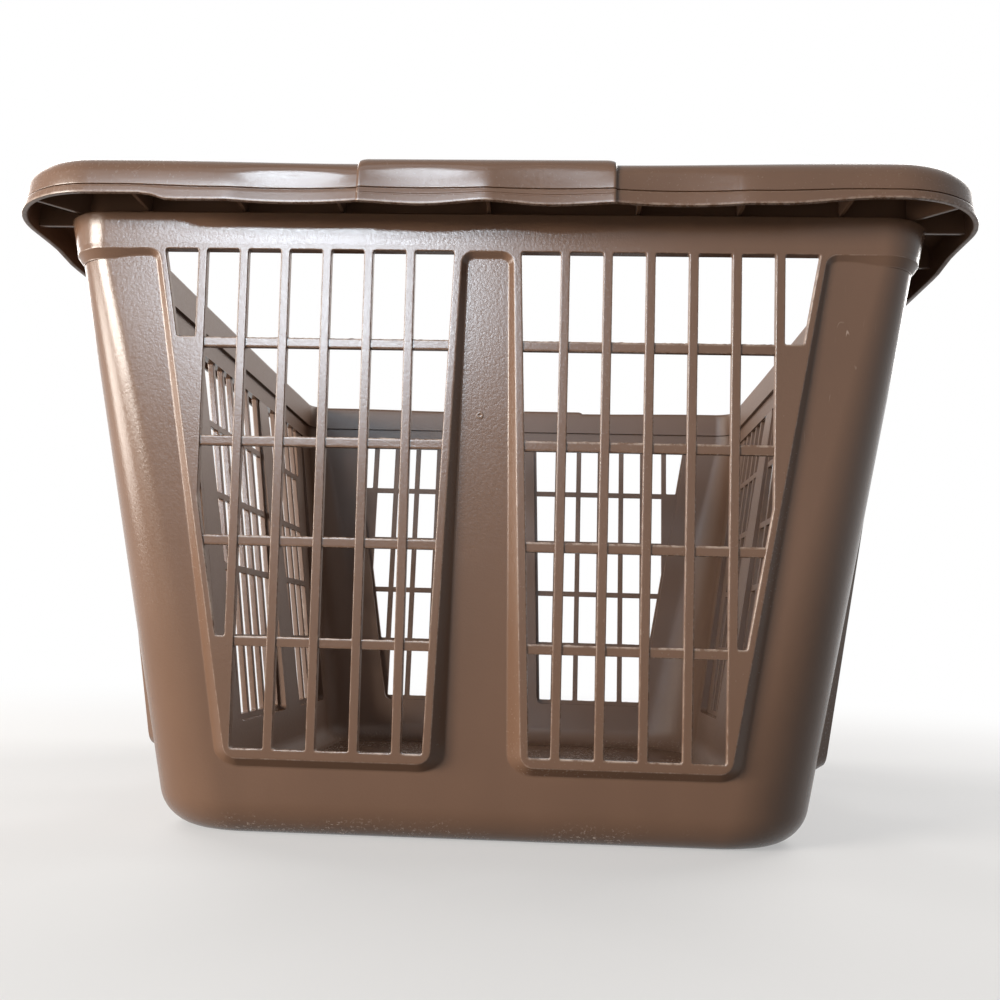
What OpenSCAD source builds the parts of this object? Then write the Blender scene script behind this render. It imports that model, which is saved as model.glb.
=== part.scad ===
// Rectangular laundry basket with open grid walls, a rolled rim and a hand grip at each end.
// +Z is up, +X runs across the basket, +Y runs along it. The origin is the centre of the base.
// The members of the moulding are separate solids that meet face to face.

/* [Body] */
// Length of the body outside, at the top of the windows
body_length = 491; // [400:1:620]
// Width of the body outside, at the top of the windows
body_width = 391; // [320:1:480]
// Height from the base to the top of the windows
window_top = 263.4; // [210:0.1:330]
// Height of the plain skirt below the windows
skirt_height = 31; // [26:1:45]
// Wall thickness
wall = 2.6; // [2:0.1:3.4]
// Floor thickness
floor_wall = 3; // [2:0.1:4]
// How far the windows stand proud of posts and mullions, at the top
relief = 2.4; // [1.6:0.1:4]
// How much deeper posts and mullions lie, per millimetre further down
deepening = 0.0175; // [0:0.0005:0.025]
// Inward lean of the windows in the long walls, per millimetre of height
side_draft = 0.14; // [0.08:0.01:0.16]
// Inward lean of the windows in the end walls, per millimetre of height
end_draft = 0.072; // [0.04:0.002:0.12]

/* [Corners] */
// Outer corner radius of the band
band_radius = 20; // [16:1:24]
// Outer corner radius of the skirt at the base
base_radius = 44; // [36:1:52]
// Radius of the edge between skirt and floor
floor_edge_radius = 16; // [8:1:20]
// Width of the flat ring of the skirt round the floor
foot_width = 4; // [2:0.5:8]

/* [Windows] */
// Distance from bar to bar
bar_pitch = 19.05; // [16:0.05:24]
// Width of an upright bar
bar_width = 4.2; // [3:0.1:6]
// Depth of an upright bar
bar_depth = 3.6; // [2.4:0.1:4.5]
// Height of a cross bar
cross_height = 4.4; // [3:0.1:6]
// How far a cross bar's face lies behind the upright bars
cross_setback = 0.6; // [0.2:0.1:1.2]
// Number of rows of cells
rows = 5; // [3:1:7]
// Extra height of the lowest row
last_row_extra = 4.6; // [0:0.1:8]
// Narrowest cell that is left open
smallest_cell = 3.8; // [3:0.1:6]
// Height of the sill under a window
sill = 4.3; // [3:0.1:6]
// Width of the frame beside a mullion
mullion_frame = 3.6; // [2:0.1:4]
// Steepness of the slope from the frame down to posts and mullions
frame_slope = 1.05; // [0.8:0.05:1.6]
// Steepness of the slope under the sill
sill_slope = 1.6; // [1:0.1:2.5]

/* [End walls] */
// Half width of the middle mullion between the openings, at the top
end_mullion_half = 15.2; // [12:0.1:20]
// Distance from the middle of the wall to the first bar
end_first_bar = 34.9; // [28:0.1:40]
// Distance from the side of the body to the window opening, at the top
end_post_width = 48; // [42:0.5:56]
// Width of the frame beside a corner post
end_frame = 3; // [2:0.1:6]
// Slant of a window's outer edge, per millimetre of height
end_window_slant = 0.173; // [0.14:0.001:0.2]

/* [Long walls] */
// Distance from the middle of the wall to the centre of a mullion
side_mullion_at = 76.2; // [65:0.1:95]
// Half width of a mullion between the openings, at the top
side_mullion_half = 14.7; // [12:0.1:20]
// Distance from a mullion's centre to the first bar on each side
side_first_bar = 38.1; // [32:0.1:42]
// Distance from the end of the body to the window opening, at the top
side_post_width = 60.5; // [56:0.5:66]
// Width of the frame beside a corner post
side_frame = 19; // [4:0.5:22]
// Slant of an outer window's outer edge, per millimetre of height
side_window_slant = 0.105; // [0.09:0.001:0.14]
// Slant of every edge beside a mullion, per millimetre of height
mullion_slant = 0.0366; // [0:0.001:0.05]

/* [Rim] */
// Height of the raised band above the windows
band_height = 17; // [12:0.5:24]
// Height of the ribs that close the band inside
band_rib = 3; // [2:0.1:4]
// How far the collar lies behind the band
collar_inset = 2.5; // [1.5:0.1:3]
// Height of the collar between band and rim
collar_height = 11; // [9:0.5:16]
// How far the rim stands out from the band
overhang = 25.5; // [20:0.5:32]
// Thickness of the rim
rim_wall = 2.4; // [1.8:0.1:3]
// Height of the rim's crown above the collar
crown_height = 4.6; // [3.2:0.1:8]
// Depth of the rim's lip below the top of the collar
lip_drop = 15; // [12:0.1:18]
// Radius of the rolled outer edge
roll_radius = 8; // [6:0.5:10]
// Radius of the rolled inner edge
inner_roll_radius = 2.5; // [1:0.5:4]
// Height of the plain lip under the groove
lip_height = 4.6; // [3:0.1:6]
// Height of the groove
groove_height = 0.9; // [0.6:0.1:1.5]
// Depth of the groove
groove_depth = 0.6; // [0.3:0.1:1]

/* [Grips and gussets] */
// Length of a hand grip
grip_length = 112; // [90:1:124]
// How far a grip stands above the rim
grip_rise = 1.2; // [0.6:0.1:2]
// How far a grip stands out from the rim
grip_proud = 1.4; // [0.6:0.1:2]
// How far a grip's lip hangs below the rim's
grip_drop = 1.2; // [0.5:0.1:3]
// Depth of the finger hollows
hollow_depth = 1.6; // [0.5:0.1:2.5]
// Thickness of a gusset
gusset_wall = 2; // [1.5:0.1:3]
// Distance from gusset to gusset
gusset_pitch = 45; // [36:0.5:54]
// Height of a gusset's lower edge above the band
gusset_gap = 1; // [0.2:0.1:3]
// Distance from the middle of an end to the gussets past the grip
grip_gusset_at = 67; // [64:0.5:72]

/* [Hidden] */

half_length = body_length / 2;
half_width = body_width / 2;
side_lean = atan(side_draft);
end_lean = atan(end_draft);
top_depth = relief + wall;

// Clearance between the foot of a slope and the edge of its panel, solid edge behind a frame, and
// how far the steps in front of the cross bars run on into the cells
foot_margin = 0.3;
frame_flank = 1.2;
step_overlap = 2;
skirt_depth = window_top - skirt_height;
deepest = relief + deepening * skirt_depth;
sill_foot = deepest / sill_slope + foot_margin;
window_height = skirt_depth - sill_foot - sill;
row_height = (window_height - (rows - 1) * cross_height - last_row_extra) / rows;
post_radius = band_radius - relief;

band_top = window_top + band_height;
collar_top = band_top + collar_height;
collar_inner = collar_inset + wall;
crown = collar_top + crown_height;
lip = collar_top - lip_drop;
corner_x = half_width - band_radius;
corner_y = half_length - band_radius;
// A finger hollow is half a grip long; its face is part of a large upright cylinder
hollow_length = grip_length / 2;
hollow_radius = (pow(hollow_length / 2, 2) + pow(hollow_depth, 2)) / (2 * hollow_depth);

brown = [0.40, 0.27, 0.22];
light_brown = [0.45, 0.31, 0.26];
// Sides of a full circle in the blended corners and in the hollows, and steps of the rolled edges
corner_sides = 72;
hollow_sides = 360;
roll_step = 15;
// Cutting tools run this far past the solids they cut
over = 40;
// Steps of the rounded edge between skirt and floor
floor_edge_step = 18;

// ---- outlines and blended shells ------------------------------------------------------------

// Rounded rectangle about the centre
module rounded_rect(half_x, half_y, radius) {
  square([2 * half_x, 2 * (half_y - radius)], center = true);
  square([2 * (half_x - radius), 2 * half_y], center = true);
  for (x = [-1, 1], y = [-1, 1])
    translate([x * (half_x - radius), y * (half_y - radius)]) circle(radius, $fn = corner_sides);
}

// Half sizes of the posts' outer face at height z, and its corner radius there
function post_half_width(z) = half_width - relief - (side_draft + deepening) * (window_top - z);
function post_half_length(z) = half_length - relief - (end_draft + deepening) * (window_top - z);
function blend_radius(z) = base_radius + (post_radius - base_radius) * z / window_top;

// Thin slice of the posts' body just under height z, shrunk all round by inset
module body_slice(z, inset) {
  slice = 0.01;
  for (x = [-1, 1], y = [-1, 1])
    translate([
      x * (post_half_width(z) - blend_radius(z)),
      y * (post_half_length(z) - blend_radius(z)),
      z
    ]) mirror([0, 0, 1]) cylinder(slice, r = blend_radius(z) - inset, $fn = corner_sides);
}

// Body from one height to another, shrunk by inset
module body_blend(z_low, z_high, inset) {
  hull() {
    body_slice(z_low, inset);
    body_slice(z_high, inset);
  }
}

// Bowl with a rounded edge at the bottom: its floor is at z_floor and its wall is shrunk by inset
module bowl(z_floor, z_high, inset, edge_radius) {
  hull() {
    for (a = [0 : floor_edge_step : 90])
      body_slice(z_floor + edge_radius * (1 - cos(a)) + 0.01, inset + edge_radius * (1 - sin(a)));
    body_slice(z_high, inset);
  }
}

// Keeps what lies between skirt and band
module in_window_zone() {
  intersection() {
    children();
    translate([-body_width, -body_length, skirt_height])
      cube([2 * body_width, 2 * body_length, skirt_depth]);
  }
}

// ---- wall frames ------------------------------------------------------------------------------
// In a wall frame x runs along the wall, y up its slope and z outward. The frame's origin is in the
// middle of the wall at the top of the windows: on the raised face when inset is 0, on the face of
// posts and mullions when inset is 1.

module end_wall(turn, inset = 0) {
  rotate([0, 0, turn]) translate([0, -half_length + inset * relief, window_top])
    rotate([90 + atan(end_draft + inset * deepening), 0, 0]) children();
}

module side_wall(turn, inset = 0) {
  rotate([0, 0, turn]) translate([0, -half_width + inset * relief, window_top])
    rotate([90 + atan(side_draft + inset * deepening), 0, 0]) children();
}

front = 0;
rear = 180;
right = 90;
left = -90;

// ---- windows ----------------------------------------------------------------------------------
// A window is given by its opening at the top, from low to high, by how its two edges slant inward
// with depth, by the widths of its frame, by its bars and by the slope length per unit of height:
// w = [low, high, low slant, high slant, low frame, high frame, bars, stretch].

function low_edge(w, depth) = w[0] + w[2] * depth;
function high_edge(w, depth) = w[1] - w[3] * depth;
function foot(depth) = (relief + deepening * depth) / frame_slope + foot_margin;

end_outer = half_width - end_post_width;
end_bar_count = floor((end_outer - end_first_bar - smallest_cell - bar_width / 2) / bar_pitch);
end_bars = [for (i = [0 : end_bar_count]) end_first_bar + i * bar_pitch];
end_window = [
  end_mullion_half, end_outer, mullion_slant, end_window_slant, mullion_frame, end_frame,
  end_bars, 1 / cos(end_lean)
];

side_outer = half_length - side_post_width;
side_first = side_mullion_at + side_first_bar;
side_bar_count = floor((side_outer - side_first - smallest_cell - bar_width / 2) / bar_pitch);
side_bars = [for (i = [0 : side_bar_count]) side_first + i * bar_pitch];
side_window = [
  side_mullion_at + side_mullion_half, side_outer, mullion_slant, side_window_slant,
  mullion_frame, side_frame, side_bars, 1 / cos(side_lean)
];

middle_span = 2 * (side_mullion_at - side_first_bar);
middle_gaps = max(1, round(middle_span / bar_pitch));
middle_bars = [for (i = [0 : middle_gaps]) -middle_span / 2 + i * middle_span / middle_gaps];
middle_half = side_mullion_at - side_mullion_half;
middle_window = [
  -middle_half, middle_half, mullion_slant, mullion_slant, mullion_frame, mullion_frame,
  middle_bars, 1 / cos(side_lean)
];

// Depth of the top and bottom of a row of cells below the top of the window
function row_top(i) = i * (row_height + cross_height);
function row_bottom(i) = i == rows - 1 ? window_height : row_top(i) + row_height;

// Left and right side of a column of cells, between the bars or running out past the edges
function column_low(w, j) = j == 0 ? w[0] - over : w[6][j - 1] + bar_width / 2;
function column_high(w, j) = j == len(w[6]) ? w[1] + over : w[6][j] - bar_width / 2;

// Width of a cell at its bottom, where the window's edges have cut into it
function cell_width(w, i, j) =
  min(column_high(w, j), high_edge(w, row_bottom(i))) -
  max(column_low(w, j), low_edge(w, row_bottom(i)));
function is_open(w, i, j) = cell_width(w, i, j) >= smallest_cell;

// Outline of the opening, grown sideways by low and high and downward by below
module opening_outline(w, low, high, below) {
  bottom = window_height + below;
  polygon([
    [low_edge(w, -over) - low, over * w[7]], [low_edge(w, bottom) - low, -bottom * w[7]],
    [high_edge(w, bottom) + high, -bottom * w[7]], [high_edge(w, -over) + high, over * w[7]]
  ]);
}

// Outline of the whole panel, out to the feet of its slopes
module panel_outline(w) {
  bottom = skirt_depth + over;
  polygon([
    [low_edge(w, -over) - w[4] - foot(-over), over * w[7]],
    [low_edge(w, bottom) - w[4] - foot(bottom), -bottom * w[7]],
    [high_edge(w, bottom) + w[5] + foot(bottom), -bottom * w[7]],
    [high_edge(w, -over) + w[5] + foot(-over), over * w[7]]
  ]);
}

// Space that a panel takes in the wall
module panel_space(w) {
  translate([0, 0, -over]) linear_extrude(2 * over) panel_outline(w);
}

// A strip of cells: height bottom - top, between two bars
module strip(w, j, top, bottom) {
  translate([column_low(w, j), -bottom * w[7]])
    square([column_high(w, j) - column_low(w, j), (bottom - top) * w[7]]);
}

// Every open cell of a window
module cells(w) {
  intersection() {
    opening_outline(w, 0, 0, 0);
    union() {
      for (i = [0 : rows - 1], j = [0 : len(w[6])])
        if (is_open(w, i, j)) strip(w, j, i == 0 ? -over : row_top(i), row_bottom(i));
    }
  }
}

// Faces of the cross bars between two open cells, running on into both cells
module cross_faces(w) {
  intersection() {
    opening_outline(w, 0, 0, 0);
    union() {
      for (i = [0 : rows - 2], j = [0 : len(w[6])])
        if (is_open(w, i, j) && is_open(w, i + 1, j))
          strip(w, j, row_bottom(i) - step_overlap, row_top(i + 1) + step_overlap);
    }
  }
}

// Cuts away what lies beyond a slope that falls outward from the edge between points a and b; the
// solid lies to the left of the edge
module slope_cut(a, b, slope) {
  run = b - a;
  translate([a[0], a[1], 0]) rotate([0, 0, atan2(run[1], run[0])])
    translate([-over, 0, 0]) rotate([90, 0, 90]) linear_extrude(norm(run) + 2 * over)
      polygon([
        [over / slope, over], [-2 * over, over], [-2 * over, -over], [-over / slope, -over]
      ]);
}

// Raised frame, solid down to beyond the wall behind it
module frame_block(w) {
  bottom = window_height + sill;
  foot_low = [low_edge(w, bottom) - w[4], -bottom * w[7]];
  foot_high = [high_edge(w, bottom) + w[5], -bottom * w[7]];
  head_low = [low_edge(w, -over) - w[4], over * w[7]];
  head_high = [high_edge(w, -over) + w[5], over * w[7]];
  difference() {
    translate([0, 0, -over / 2]) linear_extrude(over / 2) panel_outline(w);
    slope_cut(head_low, foot_low, frame_slope);
    slope_cut(foot_high, head_high, frame_slope);
    slope_cut(foot_low, foot_high, sill_slope);
  }
}

// The cells, the hollow behind the frame and the steps in front of the cross bars
module panel_cuts(w) {
  translate([0, 0, -over]) linear_extrude(2 * over) cells(w);
  translate([0, 0, -over]) linear_extrude(over - bar_depth)
    opening_outline(w, w[4] - frame_flank, w[5] - frame_flank, sill - frame_flank);
  translate([0, 0, -cross_setback]) linear_extrude(over) cross_faces(w);
}

// Room for a wall: everything between two depths behind the face of posts and mullions
module wall_layer(low, high) {
  reach = 2 * body_length;
  translate([-reach / 2, -reach / 2, low]) cube([reach, reach, high - low]);
}

module end_window_panel(turn, flip) {
  color(light_brown) in_window_zone() difference() {
    union() {
      end_wall(turn) mirror([flip, 0, 0]) frame_block(end_window);
      intersection() {
        end_wall(turn) mirror([flip, 0, 0]) panel_space(end_window);
        end_wall(turn, 1) wall_layer(-wall, 0);
      }
    }
    end_wall(turn, 1) wall_layer(-over, -wall);
    end_wall(turn) mirror([flip, 0, 0]) panel_cuts(end_window);
  }
}

module side_window_panel(turn, flip, w) {
  color(light_brown) in_window_zone() difference() {
    union() {
      side_wall(turn) mirror([flip, 0, 0]) frame_block(w);
      intersection() {
        side_wall(turn) mirror([flip, 0, 0]) panel_space(w);
        side_wall(turn, 1) wall_layer(-wall, 0);
      }
    }
    side_wall(turn, 1) wall_layer(-over, -wall);
    side_wall(turn) mirror([flip, 0, 0]) panel_cuts(w);
  }
}

// ---- mullions and posts -----------------------------------------------------------------------

// Block of wall about x = at, cut to shape by the panels beside it
module mullion_block(at, half) {
  translate([at - half, -2 * window_top, -wall]) cube([2 * half, 4 * window_top, wall]);
}

module end_mullion(turn) {
  color(brown) in_window_zone() difference() {
    end_wall(turn, 1) mullion_block(0, end_first_bar);
    end_wall(turn) panel_space(end_window);
    end_wall(turn) mirror([1, 0, 0]) panel_space(end_window);
  }
}

module side_mullion(turn, flip) {
  color(brown) in_window_zone() difference() {
    side_wall(turn, 1) mirror([flip, 0, 0]) mullion_block(side_mullion_at, side_first_bar);
    side_wall(turn) mirror([flip, 0, 0]) panel_space(side_window);
    side_wall(turn) panel_space(middle_window);
  }
}

// Everything on a wall from its middle to the foot of the last panel
module panels_space(w) {
  bottom = skirt_depth + over;
  translate([0, 0, -over]) linear_extrude(2 * over)
    polygon([
      [high_edge(w, -over) + w[5] + foot(-over), over * w[7]], [-over, over * w[7]],
      [-over, -bottom * w[7]], [high_edge(w, bottom) + w[5] + foot(bottom), -bottom * w[7]]
    ]);
}

// Corner post at the front right; the others are mirror images
module post() {
  difference() {
    body_blend(skirt_height, window_top, 0);
    body_blend(skirt_height - 1, window_top + 1, wall);
    translate([-body_width, -body_length, 0])
      cube([body_width, 2 * body_length, window_top + over]);
    translate([-body_width, 0, 0]) cube([2 * body_width, body_length, window_top + over]);
    end_wall(front) panels_space(end_window);
    side_wall(right) mirror([1, 0, 0]) panels_space(side_window);
  }
}

module corner_post(flip_x, flip_y) {
  color(brown) in_window_zone() mirror([flip_x, 0, 0]) mirror([0, flip_y, 0]) post();
}

// ---- skirt and floor --------------------------------------------------------------------------

floor_inset = floor_edge_radius + foot_width;

module floor_outline() {
  rounded_rect(
    post_half_width(0) - floor_inset, post_half_length(0) - floor_inset,
    blend_radius(0) - floor_inset
  );
}

module floor_pan() {
  color(brown) linear_extrude(floor_wall) floor_outline();
}

module skirt() {
  color(brown) difference() {
    bowl(0, skirt_height, 0, floor_edge_radius);
    bowl(floor_wall, skirt_height + 1, wall, floor_edge_radius - wall);
    translate([0, 0, -1]) linear_extrude(floor_wall + 2) floor_outline();
  }
}

// ---- band and collar --------------------------------------------------------------------------

// Upright ring between two insets from the band's outer face
module ring(z_low, height, outer, inner) {
  translate([0, 0, z_low]) linear_extrude(height) difference() {
    rounded_rect(half_width - outer, half_length - outer, band_radius - outer);
    rounded_rect(half_width - inner, half_length - inner, band_radius - inner);
  }
}

module band() {
  color(brown) {
    ring(window_top, band_height, 0, wall);
    ring(window_top, band_rib, wall, top_depth);
    ring(band_top - band_rib, band_rib, wall, collar_inner);
  }
}

module collar() {
  color(brown) ring(band_top, collar_height, collar_inset, collar_inner);
}

// ---- rim --------------------------------------------------------------------------------------
// A rim section has x outward from the band's face and y up. s = [reach, crown, lip].

rim = [overhang, crown, lip];
grip_rim = [overhang + grip_proud, crown + grip_rise, lip - grip_drop];

function roll(s, radius) = [
  for (a = [0 : roll_step : 90])
    [s[0] - roll_radius + radius * cos(a), s[1] - roll_radius + radius * sin(a)]
];
function inner_roll(s) = [
  for (a = [90 : roll_step : 180])
    [-collar_inner, s[1]] + inner_roll_radius * [1 + cos(a), sin(a) - 1]
];
function flip(points) = [for (i = [len(points) - 1 : -1 : 0]) points[i]];

// From the top of the lip over the crown and down to the collar
function rim_outside(s) = concat(roll(s, roll_radius), inner_roll(s), [[-collar_inner, collar_top]]);

// From the collar out under the crown to the lip
function rim_inside(s) = concat(
  [[-collar_inset, collar_top], [-collar_inset, s[1] - rim_wall]],
  flip(roll(s, roll_radius - rim_wall)),
  [[s[0] - rim_wall, s[2]]]
);

// Outline of the groove above the lip
function groove(s) = [
  [s[0], s[2] + lip_height], [s[0] - groove_depth, s[2] + lip_height],
  [s[0] - groove_depth, s[2] + lip_height + groove_height],
  [s[0], s[2] + lip_height + groove_height]
];

module rim_section(s) {
  polygon(concat([[s[0], s[2]]], groove(s), rim_outside(s), rim_inside(s)));
}

// The same filled in down to the lip, without its groove
module rim_block(s) {
  polygon(concat([[s[0], s[2]]], rim_outside(s), [[-collar_inset, collar_top], [-collar_inset, s[2]]]));
}

// The channel under the rim
module rim_channel(s) {
  polygon(concat(
    [[-collar_inset, s[2] - over], [-collar_inset, s[1] - rim_wall]],
    flip(roll(s, roll_radius - rim_wall)),
    [[s[0] - rim_wall, s[2] - over]]
  ));
}

// Runs a section along the front of the basket, from x = low to x = high
module along_end(low, high) {
  translate([low, -half_length, 0]) rotate([90, 0, 90]) mirror([1, 0, 0])
    linear_extrude(high - low) children();
}

// The same along the right side, from y = low to y = high
module along_side(low, high) {
  translate([half_width, high, 0]) rotate([90, 0, 0]) linear_extrude(high - low) children();
}

// Cylinder whose side is the face of a finger hollow about x = at, grown by grow
module hollow(at, s, z_low, height, grow) {
  translate([at, -half_length - s[0] - hollow_radius + hollow_depth, z_low])
    cylinder(height, r = hollow_radius + grow, $fn = hollow_sides);
}

// Finger hollows with their groove, cut into the face of a rim
module hollow_faces(places, s) {
  for (at = places) {
    hollow(at, s, s[2] - over, 2 * over + s[1] - s[2], 0);
    hollow(at, s, s[2] + lip_height, groove_height, groove_depth);
  }
}

// The wall behind the finger hollows, kept when the channel is cut
module hollow_walls(places, s) {
  for (at = places) hollow(at, s, s[2] - 2 * over, 4 * over + s[1] - s[2], rim_wall);
}

module rim_corner(flip_x, flip_y) {
  color(brown) mirror([flip_x, 0, 0]) mirror([0, flip_y, 0])
    translate([corner_x, -corner_y, 0]) rotate([0, 0, -90])
      rotate_extrude(angle = 90, $fn = corner_sides)
        translate([band_radius, 0]) rim_section(rim);
}

// A run has one finger hollow beside the grip and is plain from there to the corner
module rim_end_run(flip_x, flip_y) {
  start = grip_length / 2;
  plain = start + hollow_length;
  color(brown) mirror([flip_x, 0, 0]) mirror([0, flip_y, 0]) {
    difference() {
      along_end(start, plain) rim_block(rim);
      hollow_faces([start + hollow_length / 2], rim);
      difference() {
        along_end(start - 1, plain + 1) rim_channel(rim);
        hollow_walls([start + hollow_length / 2], rim);
      }
    }
    along_end(plain, corner_x) rim_section(rim);
  }
}

module rim_side_run(flip_x) {
  color(brown) mirror([flip_x, 0, 0]) along_side(-corner_y, corner_y) rim_section(rim);
}

// A grip has two finger hollows; at its ends a wall closes the step up from the rim
module grip(flip_y) {
  half = grip_length / 2;
  places = [-hollow_length / 2, hollow_length / 2];
  color(light_brown) mirror([0, flip_y, 0]) difference() {
    along_end(-half, half) rim_block(grip_rim);
    hollow_faces(places, grip_rim);
    difference() {
      union() {
        along_end(-half + rim_wall, half - rim_wall) rim_channel(grip_rim);
        along_end(-half - 1, half + 1) rim_channel(rim);
      }
      hollow_walls(places, grip_rim);
    }
  }
}

// ---- gussets ----------------------------------------------------------------------------------

// Fills the channel down to the gusset's lower edge
module gusset_section(s) {
  edge = band_top + gusset_gap;
  polygon(concat(
    [[-collar_inset, edge], [-collar_inset, s[1] - rim_wall]],
    flip(roll(s, roll_radius - rim_wall)),
    [[s[0] - rim_wall, edge]]
  ));
}

module end_gusset(x, s) {
  along_end(x - gusset_wall / 2, x + gusset_wall / 2) gusset_section(s);
}

module side_gusset(y) {
  along_side(y - gusset_wall / 2, y + gusset_wall / 2) gusset_section(rim);
}

// Gussets past the grip, out to where the straight rim ends
end_gusset_count = floor((corner_x - gusset_wall / 2 - grip_gusset_at) / gusset_pitch);
side_gusset_count = floor((corner_y - gusset_wall / 2) / gusset_pitch);

module end_gussets(flip_y) {
  color(brown) mirror([0, flip_y, 0]) {
    difference() {
      end_gusset(0, grip_rim);
      hollow_walls([-hollow_length / 2, hollow_length / 2], grip_rim);
    }
    for (way = [0, 1])
      mirror([way, 0, 0]) {
        difference() {
          end_gusset(grip_gusset_at, rim);
          hollow_walls([grip_length / 2 + hollow_length / 2], rim);
        }
        for (i = [1 : end_gusset_count]) end_gusset(grip_gusset_at + i * gusset_pitch, rim);
      }
  }
}

// The side rows also hold the slanting gusset in each corner
module side_gussets(flip_x) {
  color(brown) mirror([flip_x, 0, 0]) {
    for (i = [-side_gusset_count : side_gusset_count]) side_gusset(i * gusset_pitch);
    for (way = [0, 1])
      mirror([0, way, 0]) translate([corner_x, corner_y, 0]) rotate([0, 0, 45]) corner_gusset();
  }
}

// Its ends follow the round collar and the round rim
module corner_gusset() {
  edge = band_top + gusset_gap;
  intersection() {
    rotate_extrude($fn = corner_sides) translate([band_radius, 0]) gusset_section(rim);
    translate([0, -gusset_wall / 2, edge - 1])
      cube([band_radius + overhang, gusset_wall, crown - edge]);
  }
}

// ---- the basket -------------------------------------------------------------------------------

floor_pan();
skirt();
corner_post(1, 0);  // corner_post_front_left
corner_post(0, 0);  // corner_post_front_right
corner_post(1, 1);  // corner_post_rear_left
corner_post(0, 1);  // corner_post_rear_right
end_mullion(front);  // mullion_front
end_mullion(rear);  // mullion_rear
side_mullion(left, 0);  // mullion_left_front
side_mullion(left, 1);  // mullion_left_rear
side_mullion(right, 1);  // mullion_right_front
side_mullion(right, 0);  // mullion_right_rear
end_window_panel(front, 1);  // window_front_left
end_window_panel(front, 0);  // window_front_right
end_window_panel(rear, 0);  // window_rear_left
end_window_panel(rear, 1);  // window_rear_right
side_window_panel(left, 0, side_window);  // window_left_front
side_window_panel(left, 0, middle_window);  // window_left_middle
side_window_panel(left, 1, side_window);  // window_left_rear
side_window_panel(right, 1, side_window);  // window_right_front
side_window_panel(right, 0, middle_window);  // window_right_middle
side_window_panel(right, 0, side_window);  // window_right_rear
band();
collar();
rim_corner(1, 0);  // rim_corner_front_left
rim_corner(0, 0);  // rim_corner_front_right
rim_corner(1, 1);  // rim_corner_rear_left
rim_corner(0, 1);  // rim_corner_rear_right
rim_end_run(1, 0);  // rim_front_left
rim_end_run(0, 0);  // rim_front_right
rim_end_run(1, 1);  // rim_rear_left
rim_end_run(0, 1);  // rim_rear_right
rim_side_run(1);  // rim_left
rim_side_run(0);  // rim_right
grip(0);  // grip_front
grip(1);  // grip_rear
end_gussets(0);  // gussets_front
end_gussets(1);  // gussets_rear
side_gussets(1);  // gussets_left
side_gussets(0);  // gussets_right
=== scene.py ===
"""Rectangular laundry basket, moulded in one piece of brown plastic, with its studio.

Every mesh is made in millimetres round the centre of the basket's base and then scaled to metres.
"""
import logging
import math
from dataclasses import dataclass, field
from enum import Enum
from typing import Callable, Iterable, Sequence, Union

import bmesh
import bpy
from mathutils import Matrix, Vector, noise
from mathutils.geometry import delaunay_2d_cdt


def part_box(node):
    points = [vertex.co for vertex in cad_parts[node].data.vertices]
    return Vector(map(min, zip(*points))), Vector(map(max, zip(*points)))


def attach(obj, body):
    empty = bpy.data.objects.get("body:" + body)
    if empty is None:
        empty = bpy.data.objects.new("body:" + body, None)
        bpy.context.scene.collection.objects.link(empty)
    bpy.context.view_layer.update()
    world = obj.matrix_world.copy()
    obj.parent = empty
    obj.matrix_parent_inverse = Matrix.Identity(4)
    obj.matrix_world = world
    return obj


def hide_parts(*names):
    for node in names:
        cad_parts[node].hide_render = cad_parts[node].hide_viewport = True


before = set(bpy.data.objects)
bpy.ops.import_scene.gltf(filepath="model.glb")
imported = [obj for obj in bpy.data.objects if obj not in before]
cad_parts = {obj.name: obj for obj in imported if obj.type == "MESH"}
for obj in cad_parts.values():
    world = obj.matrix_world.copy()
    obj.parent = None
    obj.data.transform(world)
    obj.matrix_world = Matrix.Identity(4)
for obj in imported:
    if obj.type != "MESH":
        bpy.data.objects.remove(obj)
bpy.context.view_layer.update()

log = logging.getLogger("basket")

MM = 0.001
MERGED = 0.002 * MM
SLIVER = 0.001 * MM
SHARP = math.radians(38)
BODY = "root"

Flat = tuple[float, float]
Triple = tuple[float, float, float]
Colour = tuple[float, float, float, float]
Value = Union[float, "Signal"]
Shade = Union[Colour, "Signal"]

WHITE: Colour = (1.0, 1.0, 1.0, 1.0)


class End(Enum):
    """The basket's two ends, with the way they mirror."""

    front = 1
    rear = -1


class Hand(Enum):
    """The basket's two sides, with the way they mirror."""

    right = 1
    left = -1


# ---- numbers ------------------------------------------------------------------------------------


def smooth(low: float, high: float, value: float) -> float:
    """Soft step from 0 at low to 1 at high, read at a value."""
    share = min(1.0, max(0.0, (value - low) / (high - low)))
    return share * share * (3 - 2 * share)


def mix(a: float, b: float, share: float) -> float:
    """The number that lies share of the way from a to b."""
    return a + (b - a) * share


def steps(low: float, high: float, pitch: float) -> list[float]:
    """Even places from low to high, at most pitch apart, both ends included."""
    count = max(1, math.ceil(abs(high - low) / pitch - 1e-6))
    return [mix(low, high, i / count) for i in range(count + 1)]


def ragged(along: float, across: float) -> float:
    """Uneven number from 0 to 1 that changes over a millimetre or two."""
    return max(0.0, 0.25 + noise.noise(Vector((along * 0.8, across * 0.8, 0.37))))


def node_box(name: str) -> tuple[Vector, Vector]:
    """Lowest and highest corner of a node of the frame, in millimetres."""
    low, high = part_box(name)
    return Vector(low) / MM, Vector(high) / MM


# ---- flat outlines ------------------------------------------------------------------------------


def turns_left(points: Sequence[Flat]) -> float:
    """Twice the area that a closed outline holds, positive when it turns left."""
    pairs = zip(points, [*points[1:], points[0]])
    return sum(a[0] * b[1] - b[0] * a[1] for a, b in pairs)


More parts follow.
